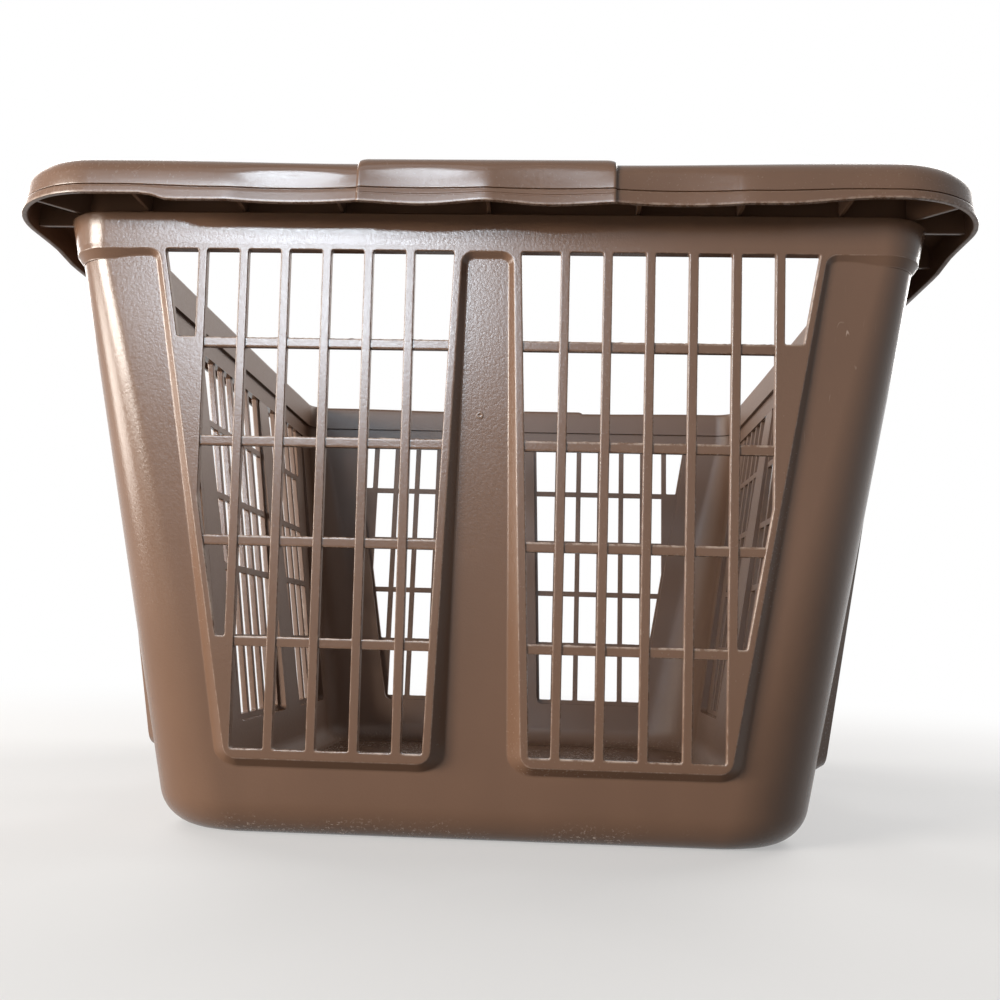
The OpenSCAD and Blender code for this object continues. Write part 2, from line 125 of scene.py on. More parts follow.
def rounded(points: Sequence[Flat], radii: Sequence[float], parts: int = 3) -> list[Flat]:
    """Closed outline with its corners rounded.

    Args:
        points: Corners of the outline.
        radii: Radius at each corner, 0 where it stays sharp.
        parts: Number of chords in each rounded corner.

    Returns:
        The outline's new points.
    """
    made: list[Flat] = []
    for i, (corner, radius) in enumerate(zip(points, radii)):
        here = Vector(corner)
        back = (Vector(points[i - 1]) - here).normalized()
        ahead = (Vector(points[(i + 1) % len(points)]) - here).normalized()
        opening = back.angle(ahead)
        if radius <= 0 or opening > math.radians(175):
            made.append(corner)
            continue
        reach = radius / math.tan(opening / 2)
        centre = here + (back + ahead).normalized() * radius / math.sin(opening / 2)
        first, last = here + back * reach - centre, here + ahead * reach - centre
        swing = first.angle_signed(last)
        for k in range(parts + 1):
            arm = first.copy()
            arm.rotate(Matrix.Rotation(-swing * k / parts, 2))
            made.append(tuple(centre + arm))
    return made


def arc(centre: Flat, radius: float, first: float, last: float, parts: int) -> list[Flat]:
    """Points on an arc from a first to a last direction in degrees, both ends included."""
    turns = [math.radians(mix(first, last, k / parts)) for k in range(parts + 1)]
    return [(centre[0] + radius * math.cos(t), centre[1] + radius * math.sin(t)) for t in turns]


def refined(points: Sequence[Flat], pitch: float) -> list[Flat]:
    """Closed outline whose long sides are cut into chords of at most pitch.

    Args:
        points: Corners of the outline.
        pitch: The longest chord.

    Returns:
        The outline's new points.
    """
    made: list[Flat] = []
    for a, b in zip(points, [*points[1:], points[0]]):
        count = max(1, round(math.dist(a, b) / pitch))
        made += [(mix(a[0], b[0], k / count), mix(a[1], b[1], k / count)) for k in range(count)]
    return made


def outward(points: Sequence[Flat]) -> list[Vector]:
    """For each point of a closed outline, the step that moves both its sides out by one.

    Args:
        points: The outline.

    Returns:
        One step for each point.
    """
    sign = 1 if turns_left(points) > 0 else -1
    made = []
    for i, here in enumerate(points):
        sides = []
        for a, b in ((points[i - 1], here), (here, points[(i + 1) % len(points)])):
            run = (Vector(b) - Vector(a)).normalized()
            sides.append(Vector((run.y, -run.x)) * sign)
        made.append((sides[0] + sides[1]) / (1 + max(-0.5, sides[0].dot(sides[1]))))
    return made


def holds(outline: Sequence[Flat], point: Flat) -> bool:
    """Whether a closed outline holds a point.

    Args:
        outline: The outline.
        point: The point.

    Returns:
        True where the point lies inside.
    """
    inside = False
    for a, b in zip(outline, [*outline[1:], outline[0]]):
        if (a[1] > point[1]) != (b[1] > point[1]):
            if point[0] < mix(a[0], b[0], (point[1] - a[1]) / (b[1] - a[1])):
                inside = not inside
    return inside


# ---- meshes -------------------------------------------------------------------------------------


@dataclass
class Draft:
    """Mesh in the making, in millimetres, with a share of edge wear at each point."""

    points: list[Vector] = field(default_factory=list)
    faces: list[tuple[int, ...]] = field(default_factory=list)
    wear: list[float] = field(default_factory=list)

    def row(self, points: Iterable[Vector], wear: float | Sequence[float] = 0.0) -> list[int]:
        """Adds points and gives their numbers.

        Args:
            points: The points' places.
            wear: Their share of edge wear, one for all or one each.

        Returns:
            The numbers of the new points.
        """
        places = list(points)
        start = len(self.points)
        self.points += places
        self.wear += [wear] * len(places) if isinstance(wear, (int, float)) else list(wear)
        return list(range(start, len(self.points)))

    def bridge(self, a: Sequence[int], b: Sequence[int], closed: bool = True) -> None:
        """Joins two rows of as many points with a strip of quads.

        Args:
            a: Numbers of the first row's points.
            b: Numbers of the second row's points.
            closed: Whether the ends of the rows meet.
        """
        count = len(a) if closed else len(a) - 1
        for i in range(count):
            k = (i + 1) % len(a)
            self.faces.append((a[i], a[k], b[k], b[i]))

    def sweep(self, rows: Sequence[Sequence[int]], closed: bool) -> None:
        """Joins closed rows one after another.

        Args:
            rows: Point numbers of the rows.
            closed: True to join the last row to the first, False to cap both ends.
        """
        for a, b in zip(rows, rows[1:]):
            self.bridge(a, b)
        if closed:
            self.bridge(rows[-1], rows[0])
        else:
            self.faces += [tuple(rows[0]), tuple(rows[-1])]

    def fill(self, loops: Sequence[tuple[Sequence[int], Sequence[Flat]]]) -> None:
        """Fills an outline that has holes with triangles.

        Args:
            loops: Point numbers and flat places of the outline, then of each hole.
        """
        flat = [Vector(p) for _, places in loops for p in places]
        numbers = [n for row, _ in loops for n in row]
        edges, start = [], 0
        for row, _ in loops:
            edges += [(start + i, start + (i + 1) % len(row)) for i in range(len(row))]
            start += len(row)
        spots, _, triangles, origins, _, _ = delaunay_2d_cdt(flat, edges, [], 0, 1e-5)
        known = [numbers[origin[0]] for origin in origins]
        outline, holes = loops[0][1], [places for _, places in loops[1:]]
        for triangle in triangles:
            middle = sum((spots[i] for i in triangle), Vector((0, 0))) / 3
            if holds(outline, middle) and not any(holds(hole, middle) for hole in holes):
                self.faces.append(tuple(known[i] for i in triangle))

    @classmethod
    def slab(cls, outer: Sequence[Sequence[Vector]], inner: Sequence[Sequence[Vector]]) -> "Draft":
        """Makes a closed slab between two grids of points.

        Args:
            outer: Rows of points on its front.
            inner: As many rows of as many points on its back.

        Returns:
            The mesh in the making.
        """
        draft = cls()
        front, back = ([draft.row(points) for points in grid] for grid in (outer, inner))
        for grid in (front, back):
            for a, b in zip(grid, grid[1:]):
                draft.bridge(a, b, closed=False)
        draft.bridge(front[0], back[0], closed=False)
        draft.bridge(front[-1], back[-1], closed=False)
        for end in (0, -1):
            draft.bridge([row[end] for row in front], [row[end] for row in back], closed=False)
        return draft

    @classmethod
    def swept(
        cls, sections: Iterable[Sequence[Vector]], wear: float | Sequence[float] = 0.0,
        closed: bool = False,
    ) -> "Draft":
        """Sweeps a section through its places.

        Args:
            sections: Points of the section at each place.
            wear: Share of edge wear, one for all the section's points or one each.
            closed: True to join the last section to the first, False to cap both ends.

        Returns:
            The mesh in the making.
        """
        draft = cls()
        draft.sweep([draft.row(points, wear) for points in sections], closed)
        return draft

    def mirrored(self, x: int, y: int) -> "Draft":
        """The same, mirrored across the basket where x or y is -1."""
        places = [Vector((p.x * x, p.y * y, p.z)) for p in self.points]
        return Draft(places, list(self.faces), list(self.wear))

    def joined(self, other: "Draft") -> "Draft":
        """The same with another closed mesh beside it.

        Args:
            other: The mesh that is added.

        Returns:
            Both in one mesh.
        """
        start = len(self.points)
        faces = self.faces + [tuple(i + start for i in face) for face in other.faces]
        return Draft(self.points + other.points, faces, self.wear + other.wear)

    def mesh(self, name: str) -> bpy.types.Mesh:
        """Makes a clean mesh in metres, with the wear as a point attribute.

        Args:
            name: Its name.

        Returns:
            The mesh.
        """
        made = bmesh.new()
        layer = made.verts.layers.float.new("wear")
        corners = [made.verts.new(point * MM) for point in self.points]
        for corner, wear in zip(corners, self.wear):
            corner[layer] = wear
        for face in self.faces:
            if len(set(face)) > 2 and made.faces.get([corners[i] for i in face]) is None:
                made.faces.new([corners[i] for i in face])
        bmesh.ops.remove_doubles(made, verts=made.verts, dist=MERGED)
        bmesh.ops.dissolve_degenerate(made, edges=made.edges, dist=SLIVER)
        loose = [v for v in made.verts if not v.link_faces]
        bmesh.ops.delete(made, geom=loose, context="VERTS")
        bmesh.ops.recalc_face_normals(made, faces=made.faces)
        open_edges = sum(not e.is_manifold for e in made.edges)
        if open_edges:
            log.warning("%s has %d open edges", name, open_edges)
        mesh = bpy.data.meshes.new(name)
        made.to_mesh(mesh)
        made.free()
        return mesh


def piece(name: str, draft: Draft, finish: "Surface", node: str) -> bpy.types.Object:
    """Makes a piece of the basket, smooth but for its sharp edges.

    Args:
        name: The piece's name.
        draft: Its mesh in the making.
        finish: Its finish.
        node: The node of the frame that it stands for.

    Returns:
        The piece.
    """
    mesh = draft.mesh(name)
    mesh.polygons.foreach_set("use_smooth", [True] * len(mesh.polygons))
    mesh.set_sharp_from_angle(angle=SHARP)
    made = bpy.data.objects.new(name, mesh)
    bpy.context.scene.collection.objects.link(made)
    even = made.modifiers.new("even_normals", "WEIGHTED_NORMAL")
    even.keep_sharp = True
    mesh.materials.append(finish.value.material())
    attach(made, BODY)
    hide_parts(node)
    return made


# ---- shader maths -------------------------------------------------------------------------------


class Signal:
    """Value that a node gives, which Python's operators turn into more Math nodes."""

    def __init__(self, shader: "Shader", socket: bpy.types.NodeSocket) -> None:
        """Wraps an output socket of a shader's node."""
        self.shader = shader
        self.socket = socket

    def maths(self, operation: str, *values: Value, clamp: bool = False) -> "Signal":
        """Adds a Math node that works on these values."""
        settings = {"operation": operation, "use_clamp": clamp}
        return self.shader.node("ShaderNodeMath", settings, dict(enumerate(values)))

    def __add__(self, other: Value) -> "Signal":
        """Sum of two values."""
        return self.maths("ADD", self, other)

    def __sub__(self, other: Value) -> "Signal":
        """This value less another."""
        return self.maths("SUBTRACT", self, other)

    def __mul__(self, other: Value) -> "Signal":
        """Product of two values."""
        return self.maths("MULTIPLY", self, other)

    def __radd__(self, other: Value) -> "Signal":
        """Sum with the value on the right."""
        return self.maths("ADD", other, self)

    def __rsub__(self, other: Value) -> "Signal":
        """Another value less this one."""
        return self.maths("SUBTRACT", other, self)

    def __rmul__(self, other: Value) -> "Signal":
        """Product with the value on the right."""
        return self.maths("MULTIPLY", other, self)

    def step(self, low: float, high: float) -> "Signal":
        """Soft step from 0 at low to 1 at high."""
        settings = {"interpolation_type": "SMOOTHSTEP"}
        return self.shader.node("ShaderNodeMapRange", settings, {0: self, 1: low, 2: high})

    def size(self) -> "Signal":
        """The value without its sign."""
        return self.maths("ABSOLUTE", self)


class Shader:
    """Node tree of one material."""

    def __init__(self, name: str, world: bpy.types.World | None = None) -> None:
        """Starts an empty material, or empties the tree of a world.

        Args:
            name: The material's name.
            world: The world, where it is for one.
        """
        self.owner = world or bpy.data.materials.new(name)
        self.owner.use_nodes = True
        self.tree = self.owner.node_tree
        self.tree.nodes.clear()

    def node(
        self, kind: str, settings: dict | None = None, values: dict | None = None, out: int | str = 0
    ) -> Signal:
        """Adds a node.

        Args:
            kind: The node's type.
            settings: Its settings, which are set first.
            values: Values or signals for its sockets, by name or number.
            out: The output that is wanted, by name or number.

        Returns:
            The wanted output.
        """
        made = self.tree.nodes.new(kind)
        for key, value in (settings or {}).items():
            setattr(made, key, value)
        for key, value in (values or {}).items():
            if isinstance(value, Signal):
                self.tree.links.new(value.socket, made.inputs[key])
            else:
                made.inputs[key].default_value = value
        return Signal(self, made.outputs[out])

    def shown(self, surface: Signal) -> bpy.types.ID:
        """Shows a surface on the material or the world.

        Args:
            surface: The surface.

        Returns:
            The material or the world.
        """
        output = self.tree.nodes.new(f"ShaderNodeOutput{type(self.owner).__name__}")
        self.tree.links.new(surface.socket, output.inputs[0])
        return self.owner

    def place(self) -> Signal:
        """Place on the basket, in metres."""
        return self.node("ShaderNodeTexCoord", out="Object")

    def stretched(self, place: Signal, by: Triple) -> Signal:
        """Place, multiplied along each axis."""
        return self.vector("MULTIPLY", place, by)

    def vector(self, operation: str, *values: Shade | Triple | Vector, out: int | str = 0) -> Signal:
        """Adds a Vector Math node that works on these places."""
        settings = {"operation": operation}
        return self.node("ShaderNodeVectorMath", settings, dict(enumerate(values)), out)

    def noise(self, place: Signal, scale: float, detail: float = 2.0, rough: float = 0.5) -> Signal:
        """Cloudy value round 0.5, with scale features to the metre."""
        values = {"Vector": place, "Scale": scale, "Detail": detail, "Roughness": rough}
        return self.node("ShaderNodeTexNoise", {}, values)

    def blend(self, share: Value, a: Shade, b: Shade) -> Signal:
        """Colour between a and b."""
        settings = {"data_type": "RGBA"}
        return self.node("ShaderNodeMix", settings, {0: share, 6: a, 7: b}, out=2)

    def near(self, place: Signal, centre: Vector, reach: Triple) -> Signal:
        """Share that is 1 round a centre and falls to 0.

        Args:
            place: Place on the basket, in metres.
            centre: The centre.
            reach: How far it goes along each axis.

        Returns:
            The share.
        """
        scaled = self.vector("DIVIDE", self.vector("SUBTRACT", place, centre), reach)
        length = self.vector("LENGTH", scaled, out="Value")
        return 1.0 - length.step(0.35, 1.0)


@dataclass(frozen=True)
class Blotches:
    """Uneven blotches: their scale, the two levels of noise between which they fade, its detail."""

    scale: float
    low: float
    high: float
    detail: float = 2.0
    rough: float = 0.5

    def on(self, shader: Shader, place: Signal) -> Signal:
        """Share of the blotches at a place."""
        return shader.noise(place, self.scale, self.detail, self.rough).step(self.low, self.high)


@dataclass(frozen=True)
class Finish:
    """Brown moulded plastic with a satin grain, cloudy tone, pale worn edges and scuffs."""

    name: str
    colour: Colour = (0.128, 0.071, 0.044, 1)
    pale: Colour = (0.47, 0.38, 0.32, 1)
    roughness: float = 0.22
    grain_depth: float = 0.05
    flash: float = 0.7
    scuffs: float = 1.0
    scratches: float = 0.0
    inside_matt: float = 0.26
    gloss: float = 1.42
    dark_tone: float = 0.80
    light_tone: float = 1.22
    grain_matt: float = 0.16
    cloud_matt: float = 0.10
    worn_matt: float = 0.22
    fine_relief: float = 0.35
    worn_relief: float = 0.5
    cloud_scale: float = 7.0
    flow_scale: float = 55.0
    grain_scale: float = 760.0
    fine_scale: float = 2100.0
    scratch_scale: float = 130.0
    base_height: Flat = (0.001, 0.013)
    broken: Blotches = Blotches(170, 0.34, 0.66, 4, 0.7)
    specks: Blotches = Blotches(480, 0.55, 0.66, 4, 0.8)
    patches: Blotches = Blotches(22, 0.40, 0.58)
    scratch_ends: Blotches = Blotches(75, 0.54, 0.66, 1)

    def worn(self, shader: Shader, place: Signal) -> Signal:
        """Share of pale wear: broken lines on edges, specks low on the base, fine scratches.

        Args:
            shader: The material in the making.
            place: Place on the basket, in metres.

        Returns:
            The share, from 0 to 1.
        """
        edge = shader.node("ShaderNodeAttribute", {"attribute_name": "wear"}, out="Fac")
        worn = edge * self.broken.on(shader, place) * self.flash
        height = shader.node("ShaderNodeSeparateXYZ", {}, {0: place}, out="Z")
        low = 1.0 - height.step(*self.base_height)
        specks = self.specks.on(shader, place) * self.patches.on(shader, place)
        worn = worn + low * specks * self.scuffs
        if self.scratches:
            worn = worn + self.scratched(shader, place)
        return worn.maths("MINIMUM", worn, 1.0)

    def scratched(self, shader: Shader, place: Signal) -> Signal:
        """Share of fine white scratches on the front right post.

        Args:
            shader: The material in the making.
            place: Place on the basket, in metres.

        Returns:
            The share, from 0 to 1.
        """
        low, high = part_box("corner_post_front_right")
        spot = Vector((mix(low.x, high.x, 0.42), low.y + 0.006, mix(low.z, high.z, 0.80)))
        drawn_out = shader.stretched(place, (1.0, 1.0, 0.09))
        lines = (shader.noise(drawn_out, self.scratch_scale, 1, 0.4) - 0.5).size()
        thin = 1.0 - lines.step(0.0015, 0.007)
        ends = self.scratch_ends.on(shader, place)
        return thin * ends * shader.near(place, spot, (0.03, 0.05, 0.045)) * self.scratches

    def inward(self, shader: Shader) -> Signal:
        """Share that is 1 on the faces that look into the basket.

        Args:
            shader: The material in the making.

        Returns:
            The share, from 0 to 1.
        """
        faces = shader.node("ShaderNodeNewGeometry", out="Normal")
        place = shader.node("ShaderNodeNewGeometry", out="Position")
        level = shader.stretched(place, (1.0, 1.0, 0.0))
        dot = shader.vector("DOT_PRODUCT", faces, level, out="Value")
        return 1.0 - dot.step(-0.06, -0.02)

    def material(self) -> bpy.types.Material:
        """Gives the finish as a material, which is made once.

        Returns:
            The material.
        """
        known = bpy.data.materials.get(self.name)
        if known:
            return known
        shader = Shader(self.name)
        place = shader.place()
        cloud = shader.noise(place, self.cloud_scale, 4, 0.6)
        flow = shader.noise(shader.stretched(place, (1.0, 1.0, 0.16)), self.flow_scale)
        grain = shader.noise(place, self.grain_scale, 2, 0.55)
        fine = shader.noise(place, self.fine_scale)
        worn = self.worn(shader, place)
        deep, light = (
            tuple(c * share for c in self.colour[:3]) + (1.0,)
            for share in (self.dark_tone, self.light_tone)
        )
        tone = shader.blend(cloud * 0.7 + flow * 0.3, deep, light)
        colour = shader.blend(worn, tone, self.pale)
        rough = self.roughness + (grain - 0.5) * self.grain_matt
        rough = rough + (cloud - 0.5) * self.cloud_matt + worn * self.worn_matt
        rough = rough + self.inward(shader) * self.inside_matt
        relief = grain + fine * self.fine_relief + worn * self.worn_relief
        depth = {"Height": relief, "Distance": self.grain_depth * MM, "Strength": 1.0}
        bump = shader.node("ShaderNodeBump", {}, depth)
        values = {"Base Color": colour, "Roughness": rough, "Normal": bump, "IOR": self.gloss}
        return shader.shown(shader.node("ShaderNodeBsdfPrincipled", {}, values))


class Surface(Enum):
    """The finishes of the moulding's surfaces."""

    SKIN = Finish("satin_skin")
    POST = Finish("satin_post", scratches=0.5)
    GRID = Finish("grid_skin", roughness=0.24, flash=0.75)
    RIM = Finish("polished_rim", roughness=0.25, grain_depth=0.015, flash=0.4, scuffs=0.0)


# ---- the moulding's skin ------------------------------------------------------------------------


@dataclass(frozen=True)
class Spot:
    """Place on the line round the band's face: its point, outward direction and wall lean."""

    base: Vector
    normal: Vector
    draft: float

    def at(self, out: float, z: float) -> Vector:
        """Place this far out of the band's face, at a height."""
        return self.base + self.normal * out + Vector((0, 0, z))

    def mirrored(self, x: int, y: int) -> "Spot":
        """The same, mirrored across the basket where x or y is -1."""
        places = [Vector((p.x * x, p.y * y, 0)) for p in (self.base, self.normal)]
        return Spot(places[0], places[1], self.draft)


Wall = Callable[[float], Spot]


@dataclass(frozen=True)
class Body:
    """Sizes that the whole moulding shares, in millimetres."""

    half_width: float
    half_length: float
    window_top: float
    band_top: float
    collar_top: float
    skirt_top: float
    overhang: float
    wall: float = 2.6
    relief: float = 2.4
    deepening: float = 0.0175
    side_draft: float = 0.14
    end_draft: float = 0.072
    band_radius: float = 20.0
    base_radius: float = 44.0
    collar_inset: float = 2.5
    corner_parts: int = 24

    @classmethod
    def from_frame(cls) -> "Body":
        """Reads the overall sizes off the frame.

        Returns:
            The sizes.
        """
        band, collar, skirt, rim = (node_box(n) for n in ("band", "collar", "skirt", "rim_right"))
        return cls(
            half_width=band[1].x, half_length=band[1].y, window_top=band[0].z,
            band_top=band[1].z, collar_top=collar[1].z, skirt_top=skirt[1].z,
            overhang=rim[1].x - band[1].x,
        )

    @property
    def corner_x(self) -> float:
        """Where the front's straight part ends."""
        return self.half_width - self.band_radius

    @property
    def corner_y(self) -> float:
        """Where a long side's straight part ends."""
        return self.half_length - self.band_radius

    def drop(self, depth: float) -> float:
        """How far posts and mullions lie behind the windows at a depth below the window top."""
        return self.relief + self.deepening * max(0.0, depth)

    def post_half(self, z: float) -> Triple:
        """Size of the posts' outer face at a height.

        Args:
            z: The height.

        Returns:
            Half its width, half its length and the radius of its corners.
        """
        depth = self.window_top - z
        radius = mix(self.base_radius, self.band_radius - self.relief, z / self.window_top)
        inset = self.relief + self.deepening * depth
        return (
            self.half_width - inset - self.side_draft * depth,
            self.half_length - inset - self.end_draft * depth,
            radius,
        )

    def front(self, x: float) -> Spot:
        """Spot on the front wall."""
        return Spot(Vector((x, -self.half_length, 0)), Vector((0, -1, 0)), self.end_draft)

    def right(self, y: float) -> Spot:
        """Spot on the right wall."""
        return Spot(Vector((self.half_width, y, 0)), Vector((1, 0, 0)), self.side_draft)

    def corner(self, turn: float) -> Spot:
        """Spot on the round corner between the front, turn 0, and the right side, turn 90.

        Args:
            turn: The turn, in degrees.

        Returns:
            The spot.
        """
        angle = math.radians(turn)
        normal = Vector((math.sin(angle), -math.cos(angle), 0))
        centre = Vector((self.corner_x, -self.corner_y, 0))
        draft = mix(self.end_draft, self.side_draft, math.sin(angle) ** 2)
        return Spot(centre + normal * self.band_radius, normal, draft)

    def bend(self) -> list[Spot]:
        """Spots round the corner from the front to the right side."""
        return [self.corner(90 * k / self.corner_parts) for k in range(self.corner_parts + 1)]

    def ring(self, pitch: float = 30.0) -> list[Spot]:
        """Spots all the way round.

        Args:
            pitch: The longest step on the straight parts.

        Returns:
            The spots in order.
        """
        quarter = [self.front(x) for x in steps(0, self.corner_x, pitch)[:-1]] + self.bend()
        quarter += [self.right(y) for y in steps(-self.corner_y, 0, pitch)[1:]]
        spots = list(quarter)
        for x, y in ((1, -1), (-1, -1), (-1, 1)):
            part = [spot.mirrored(x, y) for spot in quarter]
            spots += (part if x == y else part[::-1])[1:]
        return spots[:-1]

    def skin(self, spot: Spot, depth: float, out: float) -> Vector:
        """Place on a leaning wall, this deep below the window top and far out of the windows."""
        return spot.at(out - spot.draft * depth, self.window_top - depth)


# ---- windows ------------------------------------------------------------------------------------


@dataclass(frozen=True)
class Opening:
    """Opening of a window at the top, its slanting edges, its frame, bars and header ends."""

    low: float
    high: float
    low_slant: float
    high_slant: float
    low_frame: float
    high_frame: float
    bars: tuple[float, ...]
    header_low: float
    header_high: float

    def low_edge(self, depth: float) -> float:
        """Low edge of the opening at a depth."""
        return self.low + self.low_slant * depth

    def high_edge(self, depth: float) -> float:
        """High edge of the opening at a depth."""
        return self.high - self.high_slant * depth


@dataclass(frozen=True)
class Windows:
    """Raised frames with their grids of bars, in the end walls and the long walls."""

    body: Body
    bar_pitch: float = 19.05
    bar_width: float = 4.2
    bar_depth: float = 3.6
    cross_height: float = 4.4
    cross_setback: float = 0.6
    rows: int = 5
    last_row_extra: float = 4.6
    smallest_cell: float = 3.8
    sill: float = 4.3
    mullion_frame: float = 3.6
    end_mullion_half: float = 15.2
    end_first_bar: float = 34.9
    end_post_width: float = 48.0
    end_frame: float = 3.0
    end_slant: float = 0.173
    side_mullion_at: float = 76.2
    side_mullion_half: float = 14.7
    side_first_bar: float = 38.1
    side_post_width: float = 60.5
    side_frame: float = 19.0
    side_slant: float = 0.105
    mullion_slant: float = 0.0366
    frame_slope: float = 1.05
    sill_slope: float = 1.6
    header: float = 2.5
    header_past: float = 8.0
    cell_corner: float = 0.9
    edge_radius: float = 0.45
    crest_radius: float = 1.0
    foot_radius: float = 1.2
    recess_corner: float = 5.6
    frame_corner: float = 6.0
    flank: float = 1.2
    edge_pitch: float = 3.2
    outline_pitch: float = 24.0
    round_parts: int = 3
    face_margin: float = 0.5
    foot_land: float = 0.3
    foot_gap: float = 0.02
    back_gap: float = 0.05
    flash: float = 0.3
    crest_wear: float = 0.25
    bottom_wear: float = 1.0
    slant_wear: float = 0.85
    side_wear: float = 0.30
    top_wear: float = 0.15
    bar_bite: float = 1.1
    bar_parts: int = 12

    @property
    def skirt_depth(self) -> float:
        """Depth of the skirt's upper edge below the window top."""
        return self.body.window_top - self.body.skirt_top

    @property
    def window_height(self) -> float:
        """Height of an opening."""
        foot = self.body.drop(self.skirt_depth) / self.sill_slope + self.foot_land
        return self.skirt_depth - foot - self.sill

    @property
    def row_height(self) -> float:
        """Height of a cell in every row but the lowest."""
        bars = (self.rows - 1) * self.cross_height
        return (self.window_height - bars - self.last_row_extra) / self.rows

    def row_top(self, row: int) -> float:
        """Depth of a row's top."""
        return row * (self.row_height + self.cross_height)

    def row_bottom(self, row: int) -> float:
        """Depth of a row's bottom."""
        last = row == self.rows - 1
        return self.window_height if last else self.row_top(row) + self.row_height

    def bars_between(self, first: float, outer: float) -> tuple[float, ...]:
        """Places of the bars from the first one out to the opening's outer edge."""
        room = outer - first - self.smallest_cell - self.bar_width / 2
        return tuple(first + i * self.bar_pitch for i in range(int(room // self.bar_pitch) + 1))

    def end_opening(self) -> Opening:
        """The right-hand opening of an end wall.

        Returns:
            The opening, with x as the place along the wall.
        """
        outer = self.body.half_width - self.end_post_width
        return Opening(
            low=self.end_mullion_half, high=outer,
            low_slant=self.mullion_slant, high_slant=self.end_slant,
            low_frame=self.mullion_frame, high_frame=self.end_frame,
            bars=self.bars_between(self.end_first_bar, outer),
            header_low=0.0, header_high=outer + self.end_frame + self.header_past,
        )

    def side_opening(self) -> Opening:
        """The rear opening of the right wall.

        Returns:
            The opening, with y as the place along the wall.
        """
        outer = self.body.half_length - self.side_post_width
        middle = self.side_mullion_at
        return Opening(
            low=middle + self.side_mullion_half, high=outer,
            low_slant=self.mullion_slant, high_slant=self.side_slant,
            low_frame=self.mullion_frame, high_frame=self.side_frame,
            bars=self.bars_between(middle + self.side_first_bar, outer),
            header_low=middle, header_high=outer + self.side_frame + self.header_past,
        )

    def middle_opening(self) -> Opening:
        """The middle opening of a long wall.

        Returns:
            The opening, with y as the place along the wall.
        """
        half = self.side_mullion_at - self.side_mullion_half
        reach = self.side_mullion_at - self.side_first_bar
        return Opening(
            low=-half, high=half,
            low_slant=self.mullion_slant, high_slant=self.mullion_slant,
            low_frame=self.mullion_frame, high_frame=self.mullion_frame,
            bars=tuple(steps(-reach, reach, self.bar_pitch)),
            header_low=-self.side_mullion_at, header_high=self.side_mullion_at,
        )

    def column(self, opening: Opening, index: int) -> Flat:
        """Low and high side of a column of cells, between its bars.

        Args:
            opening: The window's opening.
            index: The column, counted from the low side.

        Returns:
            The low and the high side, endless where no bar bounds it.
        """
        bars, half = opening.bars, self.bar_width / 2
        low = -math.inf if index == 0 else bars[index - 1] + half
        return low, math.inf if index == len(bars) else bars[index] - half

    def sides(self, opening: Opening, index: int, depth: float) -> Flat:
        """Low and high side of a column's opening at a depth."""
        low, high = self.column(opening, index)
        return max(low, opening.low_edge(depth)), min(high, opening.high_edge(depth))

    def open_rows(self, opening: Opening, index: int) -> int:
        """Number of rows, from the top, in which a column is open.

        Args:
            opening: The window's opening.
            index: The column, counted from the low side.

        Returns:
            The number of rows.
        """
        count = 0
        for row in range(self.rows):
            low, high = self.sides(opening, index, self.row_bottom(row))
            count += high - low >= self.smallest_cell
        return count

    def channel(self, opening: Opening, index: int) -> list[Flat]:
        """Outline of a column's opening through all its rows.

        Args:
            opening: The window's opening.
            index: The column, counted from the low side.

        Returns:
            Places along the wall and down it.
        """
        bottom = self.row_bottom(self.open_rows(opening, index) - 1)
        low, high = self.column(opening, index)
        breaks = {0.0, bottom}
        if math.isfinite(low):
            breaks.add((low - opening.low) / opening.low_slant)
        if math.isfinite(high):
            breaks.add((opening.high - high) / opening.high_slant)
        depths = sorted(d for d in breaks if 0 <= d <= bottom)
        sides = [self.sides(opening, index, d) for d in depths]
        corners = [(low, d) for (low, _), d in zip(sides, depths)]
        corners += [(high, d) for (_, high), d in zip(sides[::-1], depths[::-1])]
        radii = [self.cell_corner if p[1] in (0.0, bottom) else 0.0 for p in corners]
        return refined(rounded(corners, radii), self.edge_pitch)

    def edge_wear(self, opening: Opening, spot: Flat, bottom: float) -> float:
        """Share of wear on a channel's edge: most at its bottom and along slanting edges.

        Args:
            opening: The window's opening.
            spot: Place on the channel's edge.
            bottom: Depth of the channel's bottom.

        Returns:
            The share.
        """
        if spot[1] > bottom - 0.4:
            return self.bottom_wear
        if opening.high_slant > 0.08 and opening.high_edge(spot[1]) - spot[0] < 0.3:
            return self.slant_wear
        return self.side_wear if spot[1] > 1.0 else self.top_wear

    def rim_of(self, opening: Opening) -> list[Flat]:
        """Outline of the raised face.

        Args:
            opening: The window's opening.

        Returns:
            Places along the wall and down it.
        """
        bottom = self.window_height + self.sill
        low = [opening.low_edge(d) - opening.low_frame for d in (0.0, bottom)]
        high = [opening.high_edge(d) + opening.high_frame for d in (0.0, bottom)]
        corners = [
            (opening.header_low, -self.header), (opening.header_low, 0.0), (low[0], 0.0),
            (low[1], bottom), (high[1], bottom), (high[0], 0.0),
            (opening.header_high, 0.0), (opening.header_high, -self.header),
        ]
        pocket, corner = self.recess_corner, self.frame_corner
        outline = rounded(corners, [0, 0, pocket, corner, corner, pocket, 0, 0], 6)
        return refined(outline, self.outline_pitch)

